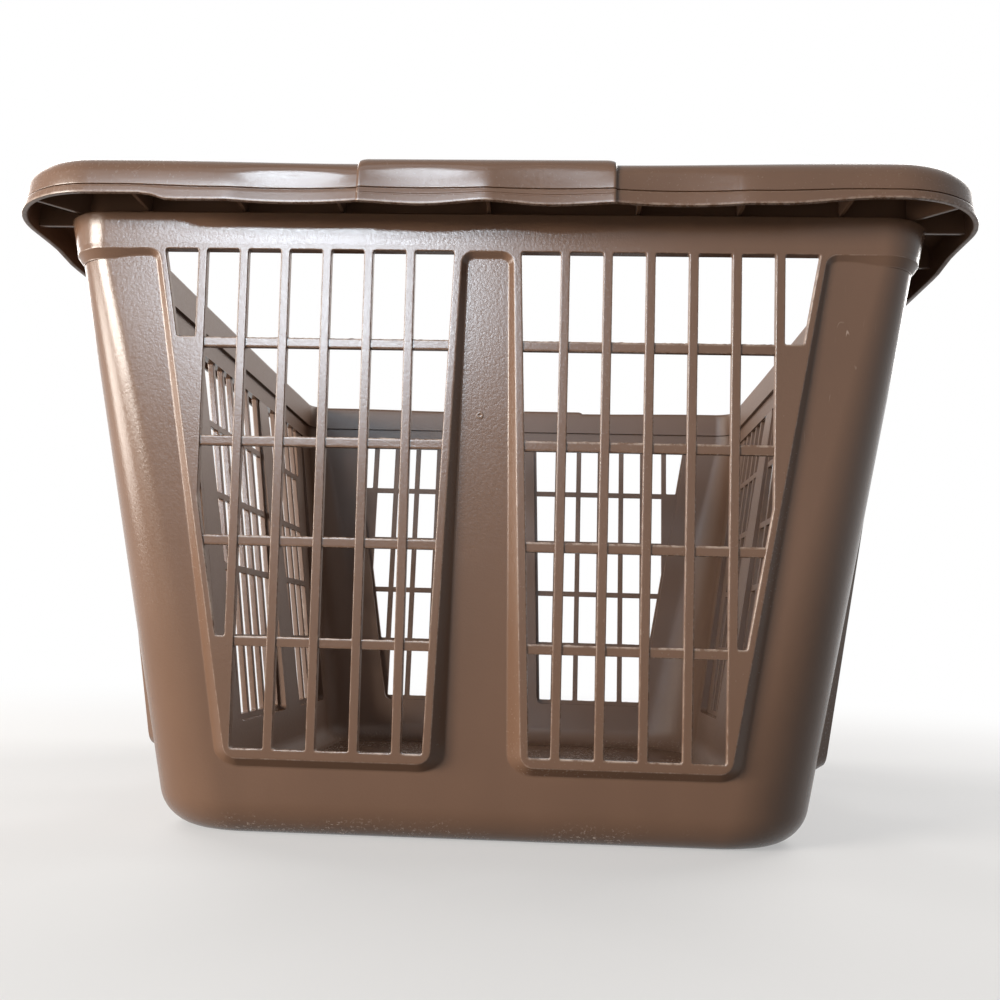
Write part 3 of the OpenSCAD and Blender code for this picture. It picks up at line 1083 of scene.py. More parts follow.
    def slope_rings(self, drop: float, slope: float) -> list[Triple]:
        """Rings from the raised face over its crest, down the slope and round the back.

        Args:
            drop: Depth of the slope's foot.
            slope: Steepness of the slope.

        Returns:
            Offset outward, height and wear of each ring.
        """
        angle, parts = math.atan(slope), self.round_parts
        crest = self.crest_radius * math.tan(angle / 2)
        foot = drop / slope + self.foot_radius * math.tan(angle / 2)
        back = drop + self.body.wall - self.back_gap
        rings = [(-crest - self.face_margin, 0.0, 0.0)]
        for i in range(parts + 1):
            turn, wear = angle * i / parts, self.crest_wear * (0 < i < parts)
            out = self.crest_radius * math.sin(turn) - crest
            rings.append((out, self.crest_radius * (math.cos(turn) - 1), wear))
        for i in range(parts, -1, -1):
            turn = angle * i / parts
            rise = self.foot_radius * (1 - math.cos(turn)) + self.foot_gap
            rings.append((foot - self.foot_radius * math.sin(turn), rise - drop, 0.0))
        land = foot + self.foot_land
        rings += [(land, -drop - 0.5, 0.0), (land, -back, 0.0)]
        return rings + [(-self.flank, -back, 0.0), (-self.flank, -self.bar_depth, 0.0)]

    def edge_rings(self) -> list[tuple[float, float, float, float]]:
        """Rings from the raised face over a channel's edge and down to its back.

        Returns:
            Offset outward, height, wear and raggedness of each ring.
        """
        radius, back = self.edge_radius, -self.bar_depth
        rings = [(radius + self.face_margin, 0.0, 0.0, 0.0), (radius, 0.0, 0.4, 0.2)]
        for turn in (30, 60, 90):
            angle = math.radians(turn)
            out, height = radius * (1 - math.sin(angle)), radius * (math.cos(angle) - 1)
            rings.append((out, height, 1.0, 1.0))
        rings += [(0.0, -radius - 0.4, 0.3, 0.3), (0.0, back + 0.3, 0.0, 0.0)]
        return rings + [(0.3, back, 0.0, 0.0)]

    def sloped(self, opening: Opening, spot: Flat, away: Vector) -> list[tuple[Flat, float, float]]:
        """Flat place, height and wear of one point of the outline in every ring.

        Args:
            opening: The window's opening.
            spot: The point on the raised face's outline.
            away: Step that leads outward there.

        Returns:
            One entry for each ring.
        """
        x, depth = spot
        if depth == 0 and x in (opening.header_low, opening.header_high):
            away = Vector((0, 1))
        bottom = self.window_height + self.sill
        low_down = smooth(bottom - self.frame_corner, bottom, depth) * min(1.0, away.y**2)
        drop = self.body.drop(depth)
        rings = self.slope_rings(drop, mix(self.frame_slope, self.sill_slope, low_down))
        if depth < -0.01:  # The header's upper edge goes straight back.
            shares = (min(1.0, k / (len(rings) - 2)) for k in range(len(rings)))
            return [(spot, -self.bar_depth * share, 0.0) for share in shares]
        made = []
        for k, (offset, height, wear) in enumerate(rings):
            place = (x + away.x * offset, depth + away.y * offset)
            if height < -1 and k < len(rings) - 1:
                height *= self.body.drop(place[1]) / drop
            made.append((place, height, wear))
        return made

    def plate(self, opening: Opening, wall: Wall) -> Draft:
        """Raised face with its slopes and channels, before its cross bars.

        Args:
            opening: The window's opening.
            wall: Gives the spot on the band's line at a place along the wall.

        Returns:
            The mesh in the making.
        """
        draft = Draft()

        def at(flat: Flat, height: float) -> Vector:
            """Place on the wall of a flat place at a height."""
            return self.body.skin(wall(flat[0]), flat[1], height)

        def loops(rings: Iterable[Sequence[tuple[Flat, float, float]]]) -> list:
            """Bridges rings of points.

            Args:
                rings: Flat place, height and wear of each point, ring by ring.

            Returns:
                Point numbers and flat places of the first and the last ring.
            """
            made = []
            for ring in rings:
                row = draft.row([at(f, h) for f, h, _ in ring], [w for *_, w in ring])
                if made:
                    draft.bridge(made[-1][0], row)
                made.append((row, [f for f, *_ in ring]))
            return [made[0], made[-1]]

        outline = self.rim_of(opening)
        columns = [self.sloped(opening, p, n) for p, n in zip(outline, outward(outline))]
        ends = [loops(zip(*columns))]
        for index in range(len(opening.bars) + 1):
            if self.open_rows(opening, index):
                ends.append(loops(self.channel_rings(opening, index)))
        for end in (0, 1):
            draft.fill([pair[end] for pair in ends])
        return draft

    def channel_rings(self, opening: Opening, index: int) -> list[list[tuple[Flat, float, float]]]:
        """Rings of a channel, with a ragged lip where its edge is worn.

        Args:
            opening: The window's opening.
            index: The column, counted from the low side.

        Returns:
            Flat place, height and wear of each point, ring by ring.
        """
        hole = self.channel(opening, index)
        bottom = self.row_bottom(self.open_rows(opening, index) - 1)
        worn = [self.edge_wear(opening, p, bottom) for p in hole]
        rings = []
        for out, height, share, lip in self.edge_rings():
            ring = []
            for p, away, wear in zip(hole, outward(hole), worn):
                down = out - self.flash * lip * wear * ragged(*p)
                ring.append(((p[0] + away.x * out, p[1] + away.y * down), height, wear * share))
            rings.append(ring)
        return rings

    def cross_bars(self, opening: Opening, wall: Wall) -> Draft:
        """Cross bars between the rows, set back from the upright bars and let into them.

        Args:
            opening: The window's opening.
            wall: Gives the spot on the band's line at a place along the wall.

        Returns:
            The mesh in the making.
        """
        draft = Draft()
        front, back = -self.cross_setback, 0.06 - self.bar_depth
        for index in range(len(opening.bars) + 1):
            for row in range(self.open_rows(opening, index) - 1):
                top, low = self.row_bottom(row), self.row_top(row + 1)
                section = [
                    (top, back + 0.3, 0.0, 0.0), (top + 0.3, back, 0.0, 0.0),
                    (low - 0.3, back, 0.0, 0.0), (low, back + 0.3, 0.0, 0.0),
                    (low, front - 0.6, 0.0, 0.0), (low - 0.1, front - 0.2, 0.3, 0.0),
                    (low - 0.45, front, 0.1, 0.0), (low - 0.9, front, 0.0, 0.0),
                    (top + 1.1, front, 0.0, 0.0), (top + 0.55, front, 0.5, 0.0),
                    (top + 0.2, front - 0.08, 1.0, 0.8), (top, front - 0.3, 1.0, 1.0),
                    (top, front - 0.75, 0.8, 0.7), (top, front - 1.3, 0.1, 0.0),
                ]
                sections = []
                for share in steps(0.0, 1.0, 1.0 / self.bar_parts):
                    points = []
                    for depth, height, _, lip in section:
                        ends = self.sides(opening, index, depth)
                        x = mix(ends[0] - self.bar_bite, ends[1] + self.bar_bite, share)
                        depth -= self.flash * lip * ragged(x, top)
                        points.append(self.body.skin(wall(x), depth, height))
                    sections.append(points)
                worn = [wear for *_, wear, _ in section]
                draft = draft.joined(Draft.swept(sections, worn))
        return draft

    def build(self) -> list[bpy.types.Object]:
        """Makes the ten window pieces.

        Returns:
            The pieces.
        """
        end, side, middle = self.end_opening(), self.side_opening(), self.middle_opening()
        front, right = self.body.front, self.body.right
        walls = [
            (f"{y.name}_{x.name}", end, front, x.value, y.value) for y in End for x in Hand
        ] + [
            (f"{x.name}_{y.name}", side, right, x.value, -y.value) for x in Hand for y in reversed(End)
        ] + [(f"{x.name}_middle", middle, right, x.value, 1) for x in Hand]
        made = []
        for place, opening, wall, x, y in walls:
            draft = self.plate(opening, wall).joined(self.cross_bars(opening, wall))
            node = f"window_{place}"
            made.append(piece(f"{node}_grid", draft.mirrored(x, y), Surface.GRID, node))
        return made


# ---- mullions and posts -------------------------------------------------------------------------


@dataclass(frozen=True)
class Uprights:
    """Recessed mullions between the windows and posts at the corners."""

    body: Body
    windows: Windows
    under: float = 1.0
    row_pitch: float = 16.0
    turned_rows: tuple[float, ...] = (0.75, 0.5, 0.3, 0.15, 0.05, 0.0)
    gate_height: float = 190.0
    gate_aside: float = 2.0
    gate_radius: float = 1.75
    gate_sides: int = 20
    gate_rings: tuple[Flat, ...] = (
        (1.0, -0.4), (1.0, 0.16), (0.86, 0.28), (0.62, 0.28), (0.5, 0.1), (0.01, 0.06)
    )

    @property
    def turn(self) -> float:
        """Depth over which the frames' lower corners turn in."""
        return self.windows.frame_corner * 2

    def depths(self) -> list[float]:
        """Depths of the rows of points, closer together where the frames' corners turn in.

        Returns:
            The depths below the window top.
        """
        end = self.windows.skirt_depth
        made = steps(self.under, end - self.turn, self.row_pitch)
        return made + [end - self.turn * share for share in self.turned_rows]

    def foot(self, depth: float) -> float:
        """Distance from a frame's edge to where a post or mullion ends under its slope.

        Args:
            depth: Depth below the window top.

        Returns:
            The distance.
        """
        low = max(0.0, self.turn - (self.windows.skirt_depth - depth))
        turned_in = self.turn - math.sqrt(self.turn**2 - low**2)
        return self.body.drop(depth) / self.windows.frame_slope - 0.5 - turned_in

    def mullion(self, wall: Wall, middle: float, half: float) -> Draft:
        """Mullion between two openings.

        Args:
            wall: Gives the spot on the band's line at a place along the wall.
            middle: Place of its centre line along the wall.
            half: Half its width between the openings, at the top.

        Returns:
            The mesh in the making.
        """
        w = self.windows
        grids: list[list[list[Vector]]] = [[], []]
        for depth in self.depths():
            reach = half + w.mullion_slant * depth - w.mullion_frame - self.foot(depth)
            places = [middle + reach * share for share in (-1, -0.5, 0, 0.5, 1)]
            face = -self.body.drop(depth)
            for grid, level in zip(grids, (face, face - self.body.wall)):
                grid.append([self.body.skin(wall(x), depth, level) for x in places])
        return Draft.slab(*grids)

    def gate_mark(self) -> Draft:
        """Small round mark that the mould's gate left on the front mullion.

        Returns:
            The mesh in the making.
        """
        draft, rows = Draft(), []
        depth = self.body.window_top - self.gate_height
        face = -self.body.drop(depth)
        for share, height in self.gate_rings:
            points = []
            for i in range(self.gate_sides):
                turn, radius = math.tau * i / self.gate_sides, share * self.gate_radius
                spot = self.body.front(radius * math.cos(turn) - self.gate_aside)
                points.append(self.body.skin(spot, depth + radius * math.sin(turn), face + height))
            rows.append(draft.row(points, 0.25 if 0.5 < share < 1 else 0.0))
        draft.sweep(rows, closed=False)
        return draft

    def outline(self, z: float, inset: float) -> list[Vector]:
        """Front right post's outline at a height, from the front wall round to the right one.

        Args:
            z: The height.
            inset: How far it lies inside the outer face.

        Returns:
            The outline's points.
        """
        half_x, half_y, radius = self.body.post_half(z)
        depth = self.body.window_top - z
        end, side = self.windows.end_opening(), self.windows.side_opening()
        start = end.high_edge(depth) + end.high_frame + self.foot(depth)
        stop = side.high_edge(depth) + side.high_frame + self.foot(depth)
        centre = Vector((half_x - radius, radius - half_y, z))
        points = [Vector((mix(start, centre.x, k / 4), inset - half_y, z)) for k in range(4)]
        for spot in self.body.bend():
            points.append(centre + spot.normal * (radius - inset))
        points += [Vector((half_x - inset, mix(centre.y, -stop, k / 3), z)) for k in range(1, 4)]
        return points

    def post(self) -> Draft:
        """Front right corner post.

        Returns:
            The mesh in the making.
        """
        heights = [self.body.window_top - depth for depth in self.depths()]
        faces = ([self.outline(z, inset) for z in heights] for inset in (0.0, self.body.wall))
        return Draft.slab(*faces)

    def build(self) -> list[bpy.types.Object]:
        """Makes the six mullions and the four posts.

        Returns:
            The pieces.
        """
        w, made = self.windows, []
        front = self.mullion(self.body.front, 0.0, w.end_mullion_half)
        side = self.mullion(self.body.right, w.side_mullion_at, w.side_mullion_half)
        mullions = [("front", front.joined(self.gate_mark()), 1, 1), ("rear", front, 1, -1)]
        for x in Hand:
            mullions += [(f"{x.name}_{y.name}", side, x.value, -y.value) for y in reversed(End)]
        for place, draft, x, y in mullions:
            node = f"mullion_{place}"
            made.append(piece(f"{node}_slab", draft.mirrored(x, y), Surface.SKIN, node))
        post = self.post()
        for y in End:
            for x in Hand:
                node = f"corner_post_{y.name}_{x.name}"
                finish = Surface.POST if (x, y) == (Hand.right, End.front) else Surface.SKIN
                made.append(piece(f"{node}_shell", post.mirrored(x.value, y.value), finish, node))
        return made


# ---- floor and skirt ----------------------------------------------------------------------------


@dataclass(frozen=True)
class Base:
    """Floor of the basket and the plain skirt that rises from it."""

    body: Body
    edge_radius: float = 16.0
    foot_width: float = 4.0
    floor_wall: float = 3.0
    edge_parts: int = 10
    row_pitch: float = 6.0

    def outline(self, z: float, inset: float) -> list[Vector]:
        """Outline of the posts' body, all the way round.

        Args:
            z: The height.
            inset: How far it lies inside the outer face.

        Returns:
            The outline's points.
        """
        half_x, half_y, radius = self.body.post_half(z)
        radius -= inset
        centre = Vector((half_x - inset - radius, radius + inset - half_y, z))
        quarter = [centre + spot.normal * radius for spot in self.body.bend()]
        points = []
        for x, y in ((1, 1), (1, -1), (-1, -1), (-1, 1)):
            part = [Vector((p.x * x, p.y * y, z)) for p in quarter]
            points += part if x == y else part[::-1]
        return points

    def skirt(self) -> Draft:
        """Skirt: out from the floor, round the edge, up to the windows and back inside.

        Returns:
            The mesh in the making.
        """
        wall, top = self.body.wall, self.body.skirt_top
        reach, parts = self.edge_radius + self.foot_width, self.edge_parts
        radius, pitch = self.edge_radius, self.row_pitch
        inner = radius - wall
        levels = [(0.0, reach), *arc((radius, radius), radius, 180, 270, parts)]
        levels += [(z, 0.0) for z in steps(radius, top, pitch)[1:]]
        levels += [(z, wall) for z in steps(top, radius + 1.0, pitch)]
        levels += arc((self.floor_wall + inner, radius), inner, 270, 180, parts)
        levels.append((self.floor_wall, reach))
        return Draft.swept((self.outline(z, inset) for z, inset in levels), closed=True)

    def floor(self) -> Draft:
        """Flat floor plate."""
        reach = self.edge_radius + self.foot_width
        return Draft.swept(self.outline(z, reach) for z in (0.0, self.floor_wall))

    def build(self) -> list[bpy.types.Object]:
        """Makes the skirt and the floor.

        Returns:
            The pieces.
        """
        return [
            piece("skirt_shell", self.skirt(), Surface.SKIN, "skirt"),
            piece("floor_plate", self.floor(), Surface.SKIN, "floor_pan"),
        ]


# ---- band and collar ----------------------------------------------------------------------------


@dataclass(frozen=True)
class Band:
    """Raised band above the windows, its steps over the posts, and the collar under the rim."""

    body: Body
    windows: Windows
    rib: float = 3.0
    edge: float = 0.8
    lean: float = 1.7
    soft_slope: float = 0.6
    soft_reach: float = 16.0
    pitch: float = 3.0
    foot_gap: float = 0.05
    step_gap: float = 0.01

    def swept(self, section: Callable[[Spot], Sequence[Flat]]) -> Draft:
        """Sweeps a section, given at a spot as places out and up, all the way round."""
        rings = ([spot.at(*p) for p in section(spot)] for spot in self.body.ring())
        return Draft.swept(rings, closed=True)

    def band_section(self, spot: Spot) -> list[Flat]:
        """Section of the band with its ribs, which leans out more than the wall below.

        Args:
            spot: Spot on the band's line.

        Returns:
            Places out and up.
        """
        b = self.body
        bottom, top, rib = b.window_top + self.windows.header, b.band_top, self.rib
        deep, collar = b.relief + b.wall, b.collar_inset + b.wall
        foot = b.window_top + self.foot_gap
        low, lean = spot.draft * (bottom - b.window_top), spot.draft * self.lean
        high = low + lean * (top - bottom)
        corners = [
            (low, bottom), (high, top), (-collar, top), (-collar, top - rib), (-b.wall, top - rib),
            (-b.wall, b.window_top + rib), (-deep, b.window_top + rib), (-deep, foot),
            (-b.wall, foot), (-b.wall, bottom),
        ]
        return rounded(corners, [0, self.edge] + [0] * 8)

    def collar_section(self, _: Spot) -> list[Flat]:
        """Section of the collar.

        Args:
            _: Spot on the band's line; the section is the same at all.

        Returns:
            Places out and up.
        """
        outer, inner = -self.body.collar_inset, -self.body.collar_inset - self.body.wall
        low, high = self.body.band_top, self.body.collar_top
        return [(outer, low), (outer, high), (inner, high), (inner, low)]

    def step(self) -> Draft:
        """Step from the band down to the front right post, with the windows' own slope.

        Returns:
            The mesh in the making.
        """
        w, body = self.windows, self.body
        end, side = w.end_opening().header_high, w.side_opening().header_high
        spots = [body.front(x) for x in steps(end, body.corner_x, self.pitch)[:-1]] + body.bend()
        spots += [body.right(y) for y in steps(-body.corner_y, -side, self.pitch)[1:]]
        ends, top = (body.front(end).base, body.right(-side).base), self.step_gap - w.header
        sections, worn = [], []
        for spot in spots:
            near = min((spot.base - place).length for place in ends)
            slope = mix(w.frame_slope, self.soft_slope, smooth(0, self.soft_reach, near))
            rings, section = w.slope_rings(body.relief, slope), [(top, 0.0, 0.0)]
            for offset, height, wear in rings[:-1]:
                factor = body.drop(offset) / body.relief if height < -1 else 1.0
                section.append((offset, height * factor, wear))
            section += [(rings[-1][0], -w.bar_depth, 0.0), (top, -w.bar_depth, 0.0)]
            sections.append([body.skin(spot, depth, height) for depth, height, _ in section])
            worn = [wear for *_, wear in section]
        return Draft.swept(sections, worn)

    def build(self) -> list[bpy.types.Object]:
        """Makes the band with its four steps, and the collar.

        Returns:
            The pieces.
        """
        body, step = self.body, self.step()
        band = self.swept(self.band_section)
        for x in (1, -1):
            for y in (1, -1):
                band = band.joined(step.mirrored(x, y))
        return [
            piece("band_ring", band, Surface.SKIN, "band"),
            piece("collar_ring", self.swept(self.collar_section), Surface.SKIN, "collar"),
        ]


# ---- rim and gussets ----------------------------------------------------------------------------


@dataclass(frozen=True)
class Profile:
    """Section of the rim: reach of its lip, its heights, depth of a finger dish, second bead."""

    reach: float
    crown: float
    lip: float
    groove: float
    dish: float = 0.0
    bead: float = 0.0


@dataclass(frozen=True)
class Rim:
    """Rolled rim with its lip, the two grips with finger dishes, and the gussets under it."""

    body: Body
    grip_low: float
    grip_crown: float
    grip_half: float
    wall: float = 2.4
    roll: float = 8.0
    inner_roll: float = 2.5
    flare: float = 0.7
    groove_depth: float = 0.9
    corner_crown: float = 296.9
    corner_lip: float = 278.9
    corner_groove: float = 282.4
    end_crown: float = 295.6
    end_lip: float = 276.0
    end_groove: float = 281.4
    side_crown: float = 296.0
    side_lip: float = 276.4
    side_groove: float = 281.6
    left_lip_turn: Flat = (138.0, 150.0)
    right_lip_turn: Flat = (125.0, 168.0)
    end_groove_turn: Flat = (120.0, 160.0)
    end_crown_turn: float = 165.0
    side_crown_turn: Flat = (80.0, 215.0)
    side_lip_turn: Flat = (180.0, 205.0)
    dish_hang: float = 0.5
    dish_fade: Flat = (11.0, 2.0)
    dish_inside: float = 9.0
    dish_pitch: float = 3.5
    end_pitch: float = 6.0
    side_pitch: float = 8.0
    corner_tail: float = 1.0
    hang_middle: float = 0.9
    hang_bay: float = -0.6
    hang_end: float = 0.8
    grip_proud: float = 1.4
    grip_step: float = 1.2
    grip_shoulder: float = 4.5
    run_dish: float = 1.8
    grip_dish: float = 1.4
    gusset_wall: float = 2.0
    gusset_let_in: float = 0.2
    gusset_bevel: float = 0.3
    gusset_edge: float = 281.4
    gusset_pitch: float = 45.0
    grip_gusset_at: float = 67.0

    @classmethod
    def from_frame(cls, body: Body) -> "Rim":
        """Reads the grips' sizes off the frame."""
        low, high = node_box("grip_front")
        return cls(body, grip_low=low.z, grip_crown=high.z, grip_half=high.x)

    def on_corner(self) -> Profile:
        """Profile round the corners."""
        return Profile(self.body.overhang, self.corner_crown, self.corner_lip, self.corner_groove)

    def on_end(self, x: float) -> Profile:
        """Profile on an end, between grip and corner.

        Args:
            x: Place along the end.

        Returns:
            The profile.
        """
        at, half = abs(x), self.grip_half
        turned = smooth(*(self.left_lip_turn if x < 0 else self.right_lip_turn), at)
        across = (at - 1.5 * half) / (half / 2)
        dish = max(0.0, 1 - across * across)
        return Profile(
            self.body.overhang,
            mix(self.end_crown, self.corner_crown, smooth(half, self.end_crown_turn, at)),
            mix(self.end_lip, self.corner_lip, turned) - self.dish_hang * dish,
            mix(self.end_groove, self.corner_groove, smooth(*self.end_groove_turn, at)),
            self.run_dish * dish,
        )

    def on_side(self, y: float) -> Profile:
        """Profile on a long side.

        Args:
            y: Place along the side.

        Returns:
            The profile.
        """
        turned = smooth(*self.side_lip_turn, abs(y))
        return Profile(
            self.body.overhang,
            mix(self.side_crown, self.corner_crown, smooth(*self.side_crown_turn, abs(y))),
            mix(self.side_lip, self.corner_lip, turned),
            mix(self.side_groove, self.corner_groove, turned),
        )

    def on_grip(self, x: float) -> Profile:
        """Profile on a grip, with a crisp step at both ends and round shoulders above it.

        Args:
            x: Place along the end.

        Returns:
            The profile.
        """
        at, half = abs(x), self.grip_half
        raised, risen = (
            math.sqrt(max(0.0, 1 - (1 - min(1.0, (half - at) / reach)) ** 2))
            for reach in (self.grip_step, self.grip_shoulder)
        )
        across = (at - half / 2) / (half / 2)
        dish = max(0.0, 1 - across * across)
        hang = self.grip_low + mix(self.hang_middle, self.hang_bay, smooth(0, half / 2, at))
        hang += self.hang_end * smooth(half / 2, half, at)
        return Profile(
            self.body.overhang + self.grip_proud * raised,
            mix(self.end_crown, self.grip_crown, risen),
            mix(self.end_lip, hang, raised),
            self.end_groove,
            self.grip_dish * dish,
            raised,
        )

    def section(self, p: Profile) -> list[Triple]:
        """Section of the rim.

        Args:
            p: Its profile.

        Returns:
            Places out and up with their wear, from the lip's inner edge over the crown to the
            collar and back inside.
        """
        reach, face, groove = p.reach, p.reach - self.flare, p.groove
        lip, centre = p.lip, (p.reach - self.flare - self.roll, p.crown - self.roll)
        points = [
            (reach - self.wall, lip + 0.3, 0.2), (reach - self.wall + 0.4, lip, 0.5),
            (reach - 0.5, lip, 0.8), (reach - 0.12, lip + 0.12, 1.0), (reach, lip + 0.5, 0.8),
            (reach, lip + 1.2, 0.0),
        ]
        middle = mix(lip, groove, 0.62)
        for shift, out in ((-0.5, 0.0), (-0.25, 0.28 * p.bead), (0.25, 0.28 * p.bead), (0.5, 0.0)):
            points.append((reach - out, middle + shift, 0.0))
        points += [
            (reach, groove - 0.5, 0.0), (reach - 0.12, groove - 0.12, 0.45),
            (reach - 0.5, groove, 0.3), (face - self.groove_depth, groove + 0.12, 0.0),
            (face - self.groove_depth, groove + 0.7, 0.0), (face - 0.15, groove + 0.9, 0.0),
            (face, groove + 1.3, 0.0), (face, mix(groove + 1.3, centre[1], 0.5), 0.0),
        ]
        inset, collar, radius = self.body.collar_inset, self.body.collar_top, self.inner_roll
        inner = -inset - self.body.wall
        plain = arc(centre, self.roll, 0, 90, 9)
        plain += [(centre[0] * share, p.crown) for share in (0.66, 0.33, 0.0)]
        plain += arc((inner + radius, p.crown - radius), radius, 90, 180, 4)
        plain += [(inner, collar), (-inset, collar), (-inset, p.crown - self.wall)]
        plain += arc(centre, self.roll - self.wall, 90, 0, 6)
        plain.append((face - self.wall, groove + 0.5))
        points += [(*place, 0.0) for place in plain]
        return [(self.dished(p, out, z), z, wear) for out, z, wear in points]

    def dished(self, p: Profile, out: float, z: float) -> float:
        """Place out of the band's face, moved in by the finger dish on the face and lip."""
        low, high = (p.crown - below for below in self.dish_fade)
        return out - p.dish * (1 - smooth(low, high, z)) * (out > p.reach - self.dish_inside)

    def swept(self, places: Iterable[tuple[Spot, Profile]]) -> Draft:
        """Sweeps the rim's section.

        Args:
            places: Spots, each with the profile there.

        Returns:
            The mesh in the making.
        """
        sections, worn = [], []
        for spot, profile in places:
            section = self.section(profile)
            sections.append([spot.at(out, z) for out, z, _ in section])
            worn = [wear for *_, wear in section]
        return Draft.swept(sections, worn)

    def corner(self) -> Draft:
        """Front right corner, with a short tail of straight rim at both ends.

        Returns:
            The mesh in the making.
        """
        body, tail = self.body, self.corner_tail
        spots = [body.front(body.corner_x - tail), *body.bend(), body.right(tail - body.corner_y)]
        return self.swept((spot, self.on_corner()) for spot in spots)

    def end_run(self, sign: int) -> Draft:
        """Front run between the grip and a corner.

        Args:
            sign: 1 for the right, -1 for the left.

        Returns:
            The mesh in the making.
        """
        dish, far = 2 * self.grip_half, self.body.corner_x - self.corner_tail
        places = steps(self.grip_half, dish, self.dish_pitch) + steps(dish, far, self.end_pitch)[1:]
        return self.swept((self.body.front(sign * x), self.on_end(sign * x)) for x in places)

    def side_run(self) -> Draft:
        """Run along the right side.

        Returns:
            The mesh in the making.
        """
        far = self.body.corner_y - self.corner_tail
        places = steps(-far, far, self.side_pitch)
        return self.swept((self.body.right(y), self.on_side(y)) for y in places)

    def grip(self) -> Draft:
        """Front grip.

        Returns:
            The mesh in the making.
        """
        half, shoulder = self.grip_half, self.grip_shoulder
        ends = [half - shoulder * (1 - math.cos(math.radians(10 * k))) for k in range(10)]
        flat = steps(half - shoulder, shoulder - half, self.dish_pitch)
        places = ends + flat[1:-1] + [-x for x in ends[::-1]]
        return self.swept((self.body.front(x), self.on_grip(x)) for x in places)

    def gusset(self, spot: Spot, along: Vector, p: Profile) -> Draft:
        """Gusset under the rim.

        Args:
            spot: Spot on the band's line that it starts from.
            along: Direction along the rim there.
            p: The rim's profile there.

        Returns:
            The mesh in the making.
        """
        half, let_in, edge = self.gusset_wall / 2, self.gusset_let_in, self.gusset_bevel
        face, radius = p.reach - self.flare, self.roll - self.wall + let_in
        centre, back = (face - self.roll, p.crown - self.roll), -self.body.collar_inset - let_in
        outline = [(back, self.gusset_edge), (back, p.crown - self.wall + let_in)]
        outline += arc(centre, radius, 90, 0, 6)
        outline.append((face - self.wall + let_in, self.gusset_edge))
        sections = []
        for side, inset in ((-half, edge), (edge - half, 0.0), (half - edge, 0.0), (half, edge)):
            section = []
            for (out, z), step in zip(outline, outward(outline)):
                out, z = out - step.x * inset, z - step.y * inset
                section.append(spot.at(self.dished(p, out, z), z) + along * side)
            sections.append(section)
        return Draft.swept(sections)

    def end_gussets(self) -> Draft:
        """Gussets of the front end.

        Returns:
            The mesh in the making.
        """
        draft = self.gusset(self.body.front(0), Vector((1, 0, 0)), self.on_grip(0))
        x = self.grip_gusset_at
        while x < self.body.corner_x:
            for sign in (1, -1):
                spot = self.body.front(sign * x)
                draft = draft.joined(self.gusset(spot, Vector((1, 0, 0)), self.on_end(sign * x)))
            x += self.gusset_pitch
        return draft

    def side_gussets(self) -> Draft:
        """Gussets of the right side and of its two corners.

        Returns:
            The mesh in the making.
        """
        draft, count = Draft(), int(self.body.corner_y // self.gusset_pitch)
        for k in range(-count, count + 1):
            y = k * self.gusset_pitch
            draft = draft.joined(self.gusset(self.body.right(y), Vector((0, 1, 0)), self.on_side(y)))
        spot = self.body.corner(45)
        along = Vector((-spot.normal.y, spot.normal.x, 0))
        slanting = self.gusset(spot, along, self.on_corner())
        return draft.joined(slanting).joined(slanting.mirrored(1, -1))

    def build(self) -> list[bpy.types.Object]:
        """Makes the rim's ten pieces and the four rows of gussets.

        Returns:
            The pieces.
        """
        corner, side, grip = self.corner(), self.side_run(), self.grip()
        runs = {1: self.end_run(1), -1: self.end_run(-1).mirrored(-1, 1)}
        plans = []
        for y in End:
            for x in Hand:
                place, run = f"{y.name}_{x.name}", runs[x.value * y.value]
                plans.append((f"rim_corner_{place}", corner.mirrored(x.value, y.value)))
                plans.append((f"rim_{place}", run.mirrored(x.value, y.value)))
            plans.append((f"grip_{y.name}", grip.mirrored(1, y.value)))
            plans.append((f"gussets_{y.name}", self.end_gussets().mirrored(1, y.value)))
        for x in Hand:
            plans.append((f"rim_{x.name}", side.mirrored(x.value, 1)))
            plans.append((f"gussets_{x.name}", self.side_gussets().mirrored(x.value, 1)))
        made = []
        for node, draft in plans:
            ribs = node.startswith("gussets")
            shape, finish = ("ribs", Surface.SKIN) if ribs else ("roll", Surface.RIM)
            made.append(piece(f"{node}_{shape}", draft, finish, node))
        return made


# ---- studio -------------------------------------------------------------------------------------


@dataclass(frozen=True)
class Lamp:
    """Area lamp that looks at the basket: its bearing and height angle, distance, size, power."""

    name: str
    bearing: float
    height: float
    distance: float
    size: Flat
    power: float
    colour: Triple
    aim: Triple
    sheen_only: bool = False

    def hang(self) -> None:
        """Hangs the lamp; its bearing is measured from the front towards the right."""
        light = bpy.data.lights.new(self.name, "AREA")
        light.shape = "RECTANGLE"
        light.size, light.size_y = self.size
        light.energy, light.color = self.power, self.colour
        bearing, height = math.radians(self.bearing), math.radians(self.height)
        flat = math.cos(height)
        way = Vector((math.sin(bearing) * flat, -math.cos(bearing) * flat, math.sin(height)))
        lamp = bpy.data.objects.new(self.name, light)
        lamp.location = Vector(self.aim) + way * self.distance
        lamp.rotation_euler = way.to_track_quat("Z", "Y").to_euler()
        lamp.visible_diffuse = not self.sheen_only
        bpy.context.scene.collection.objects.link(lamp)


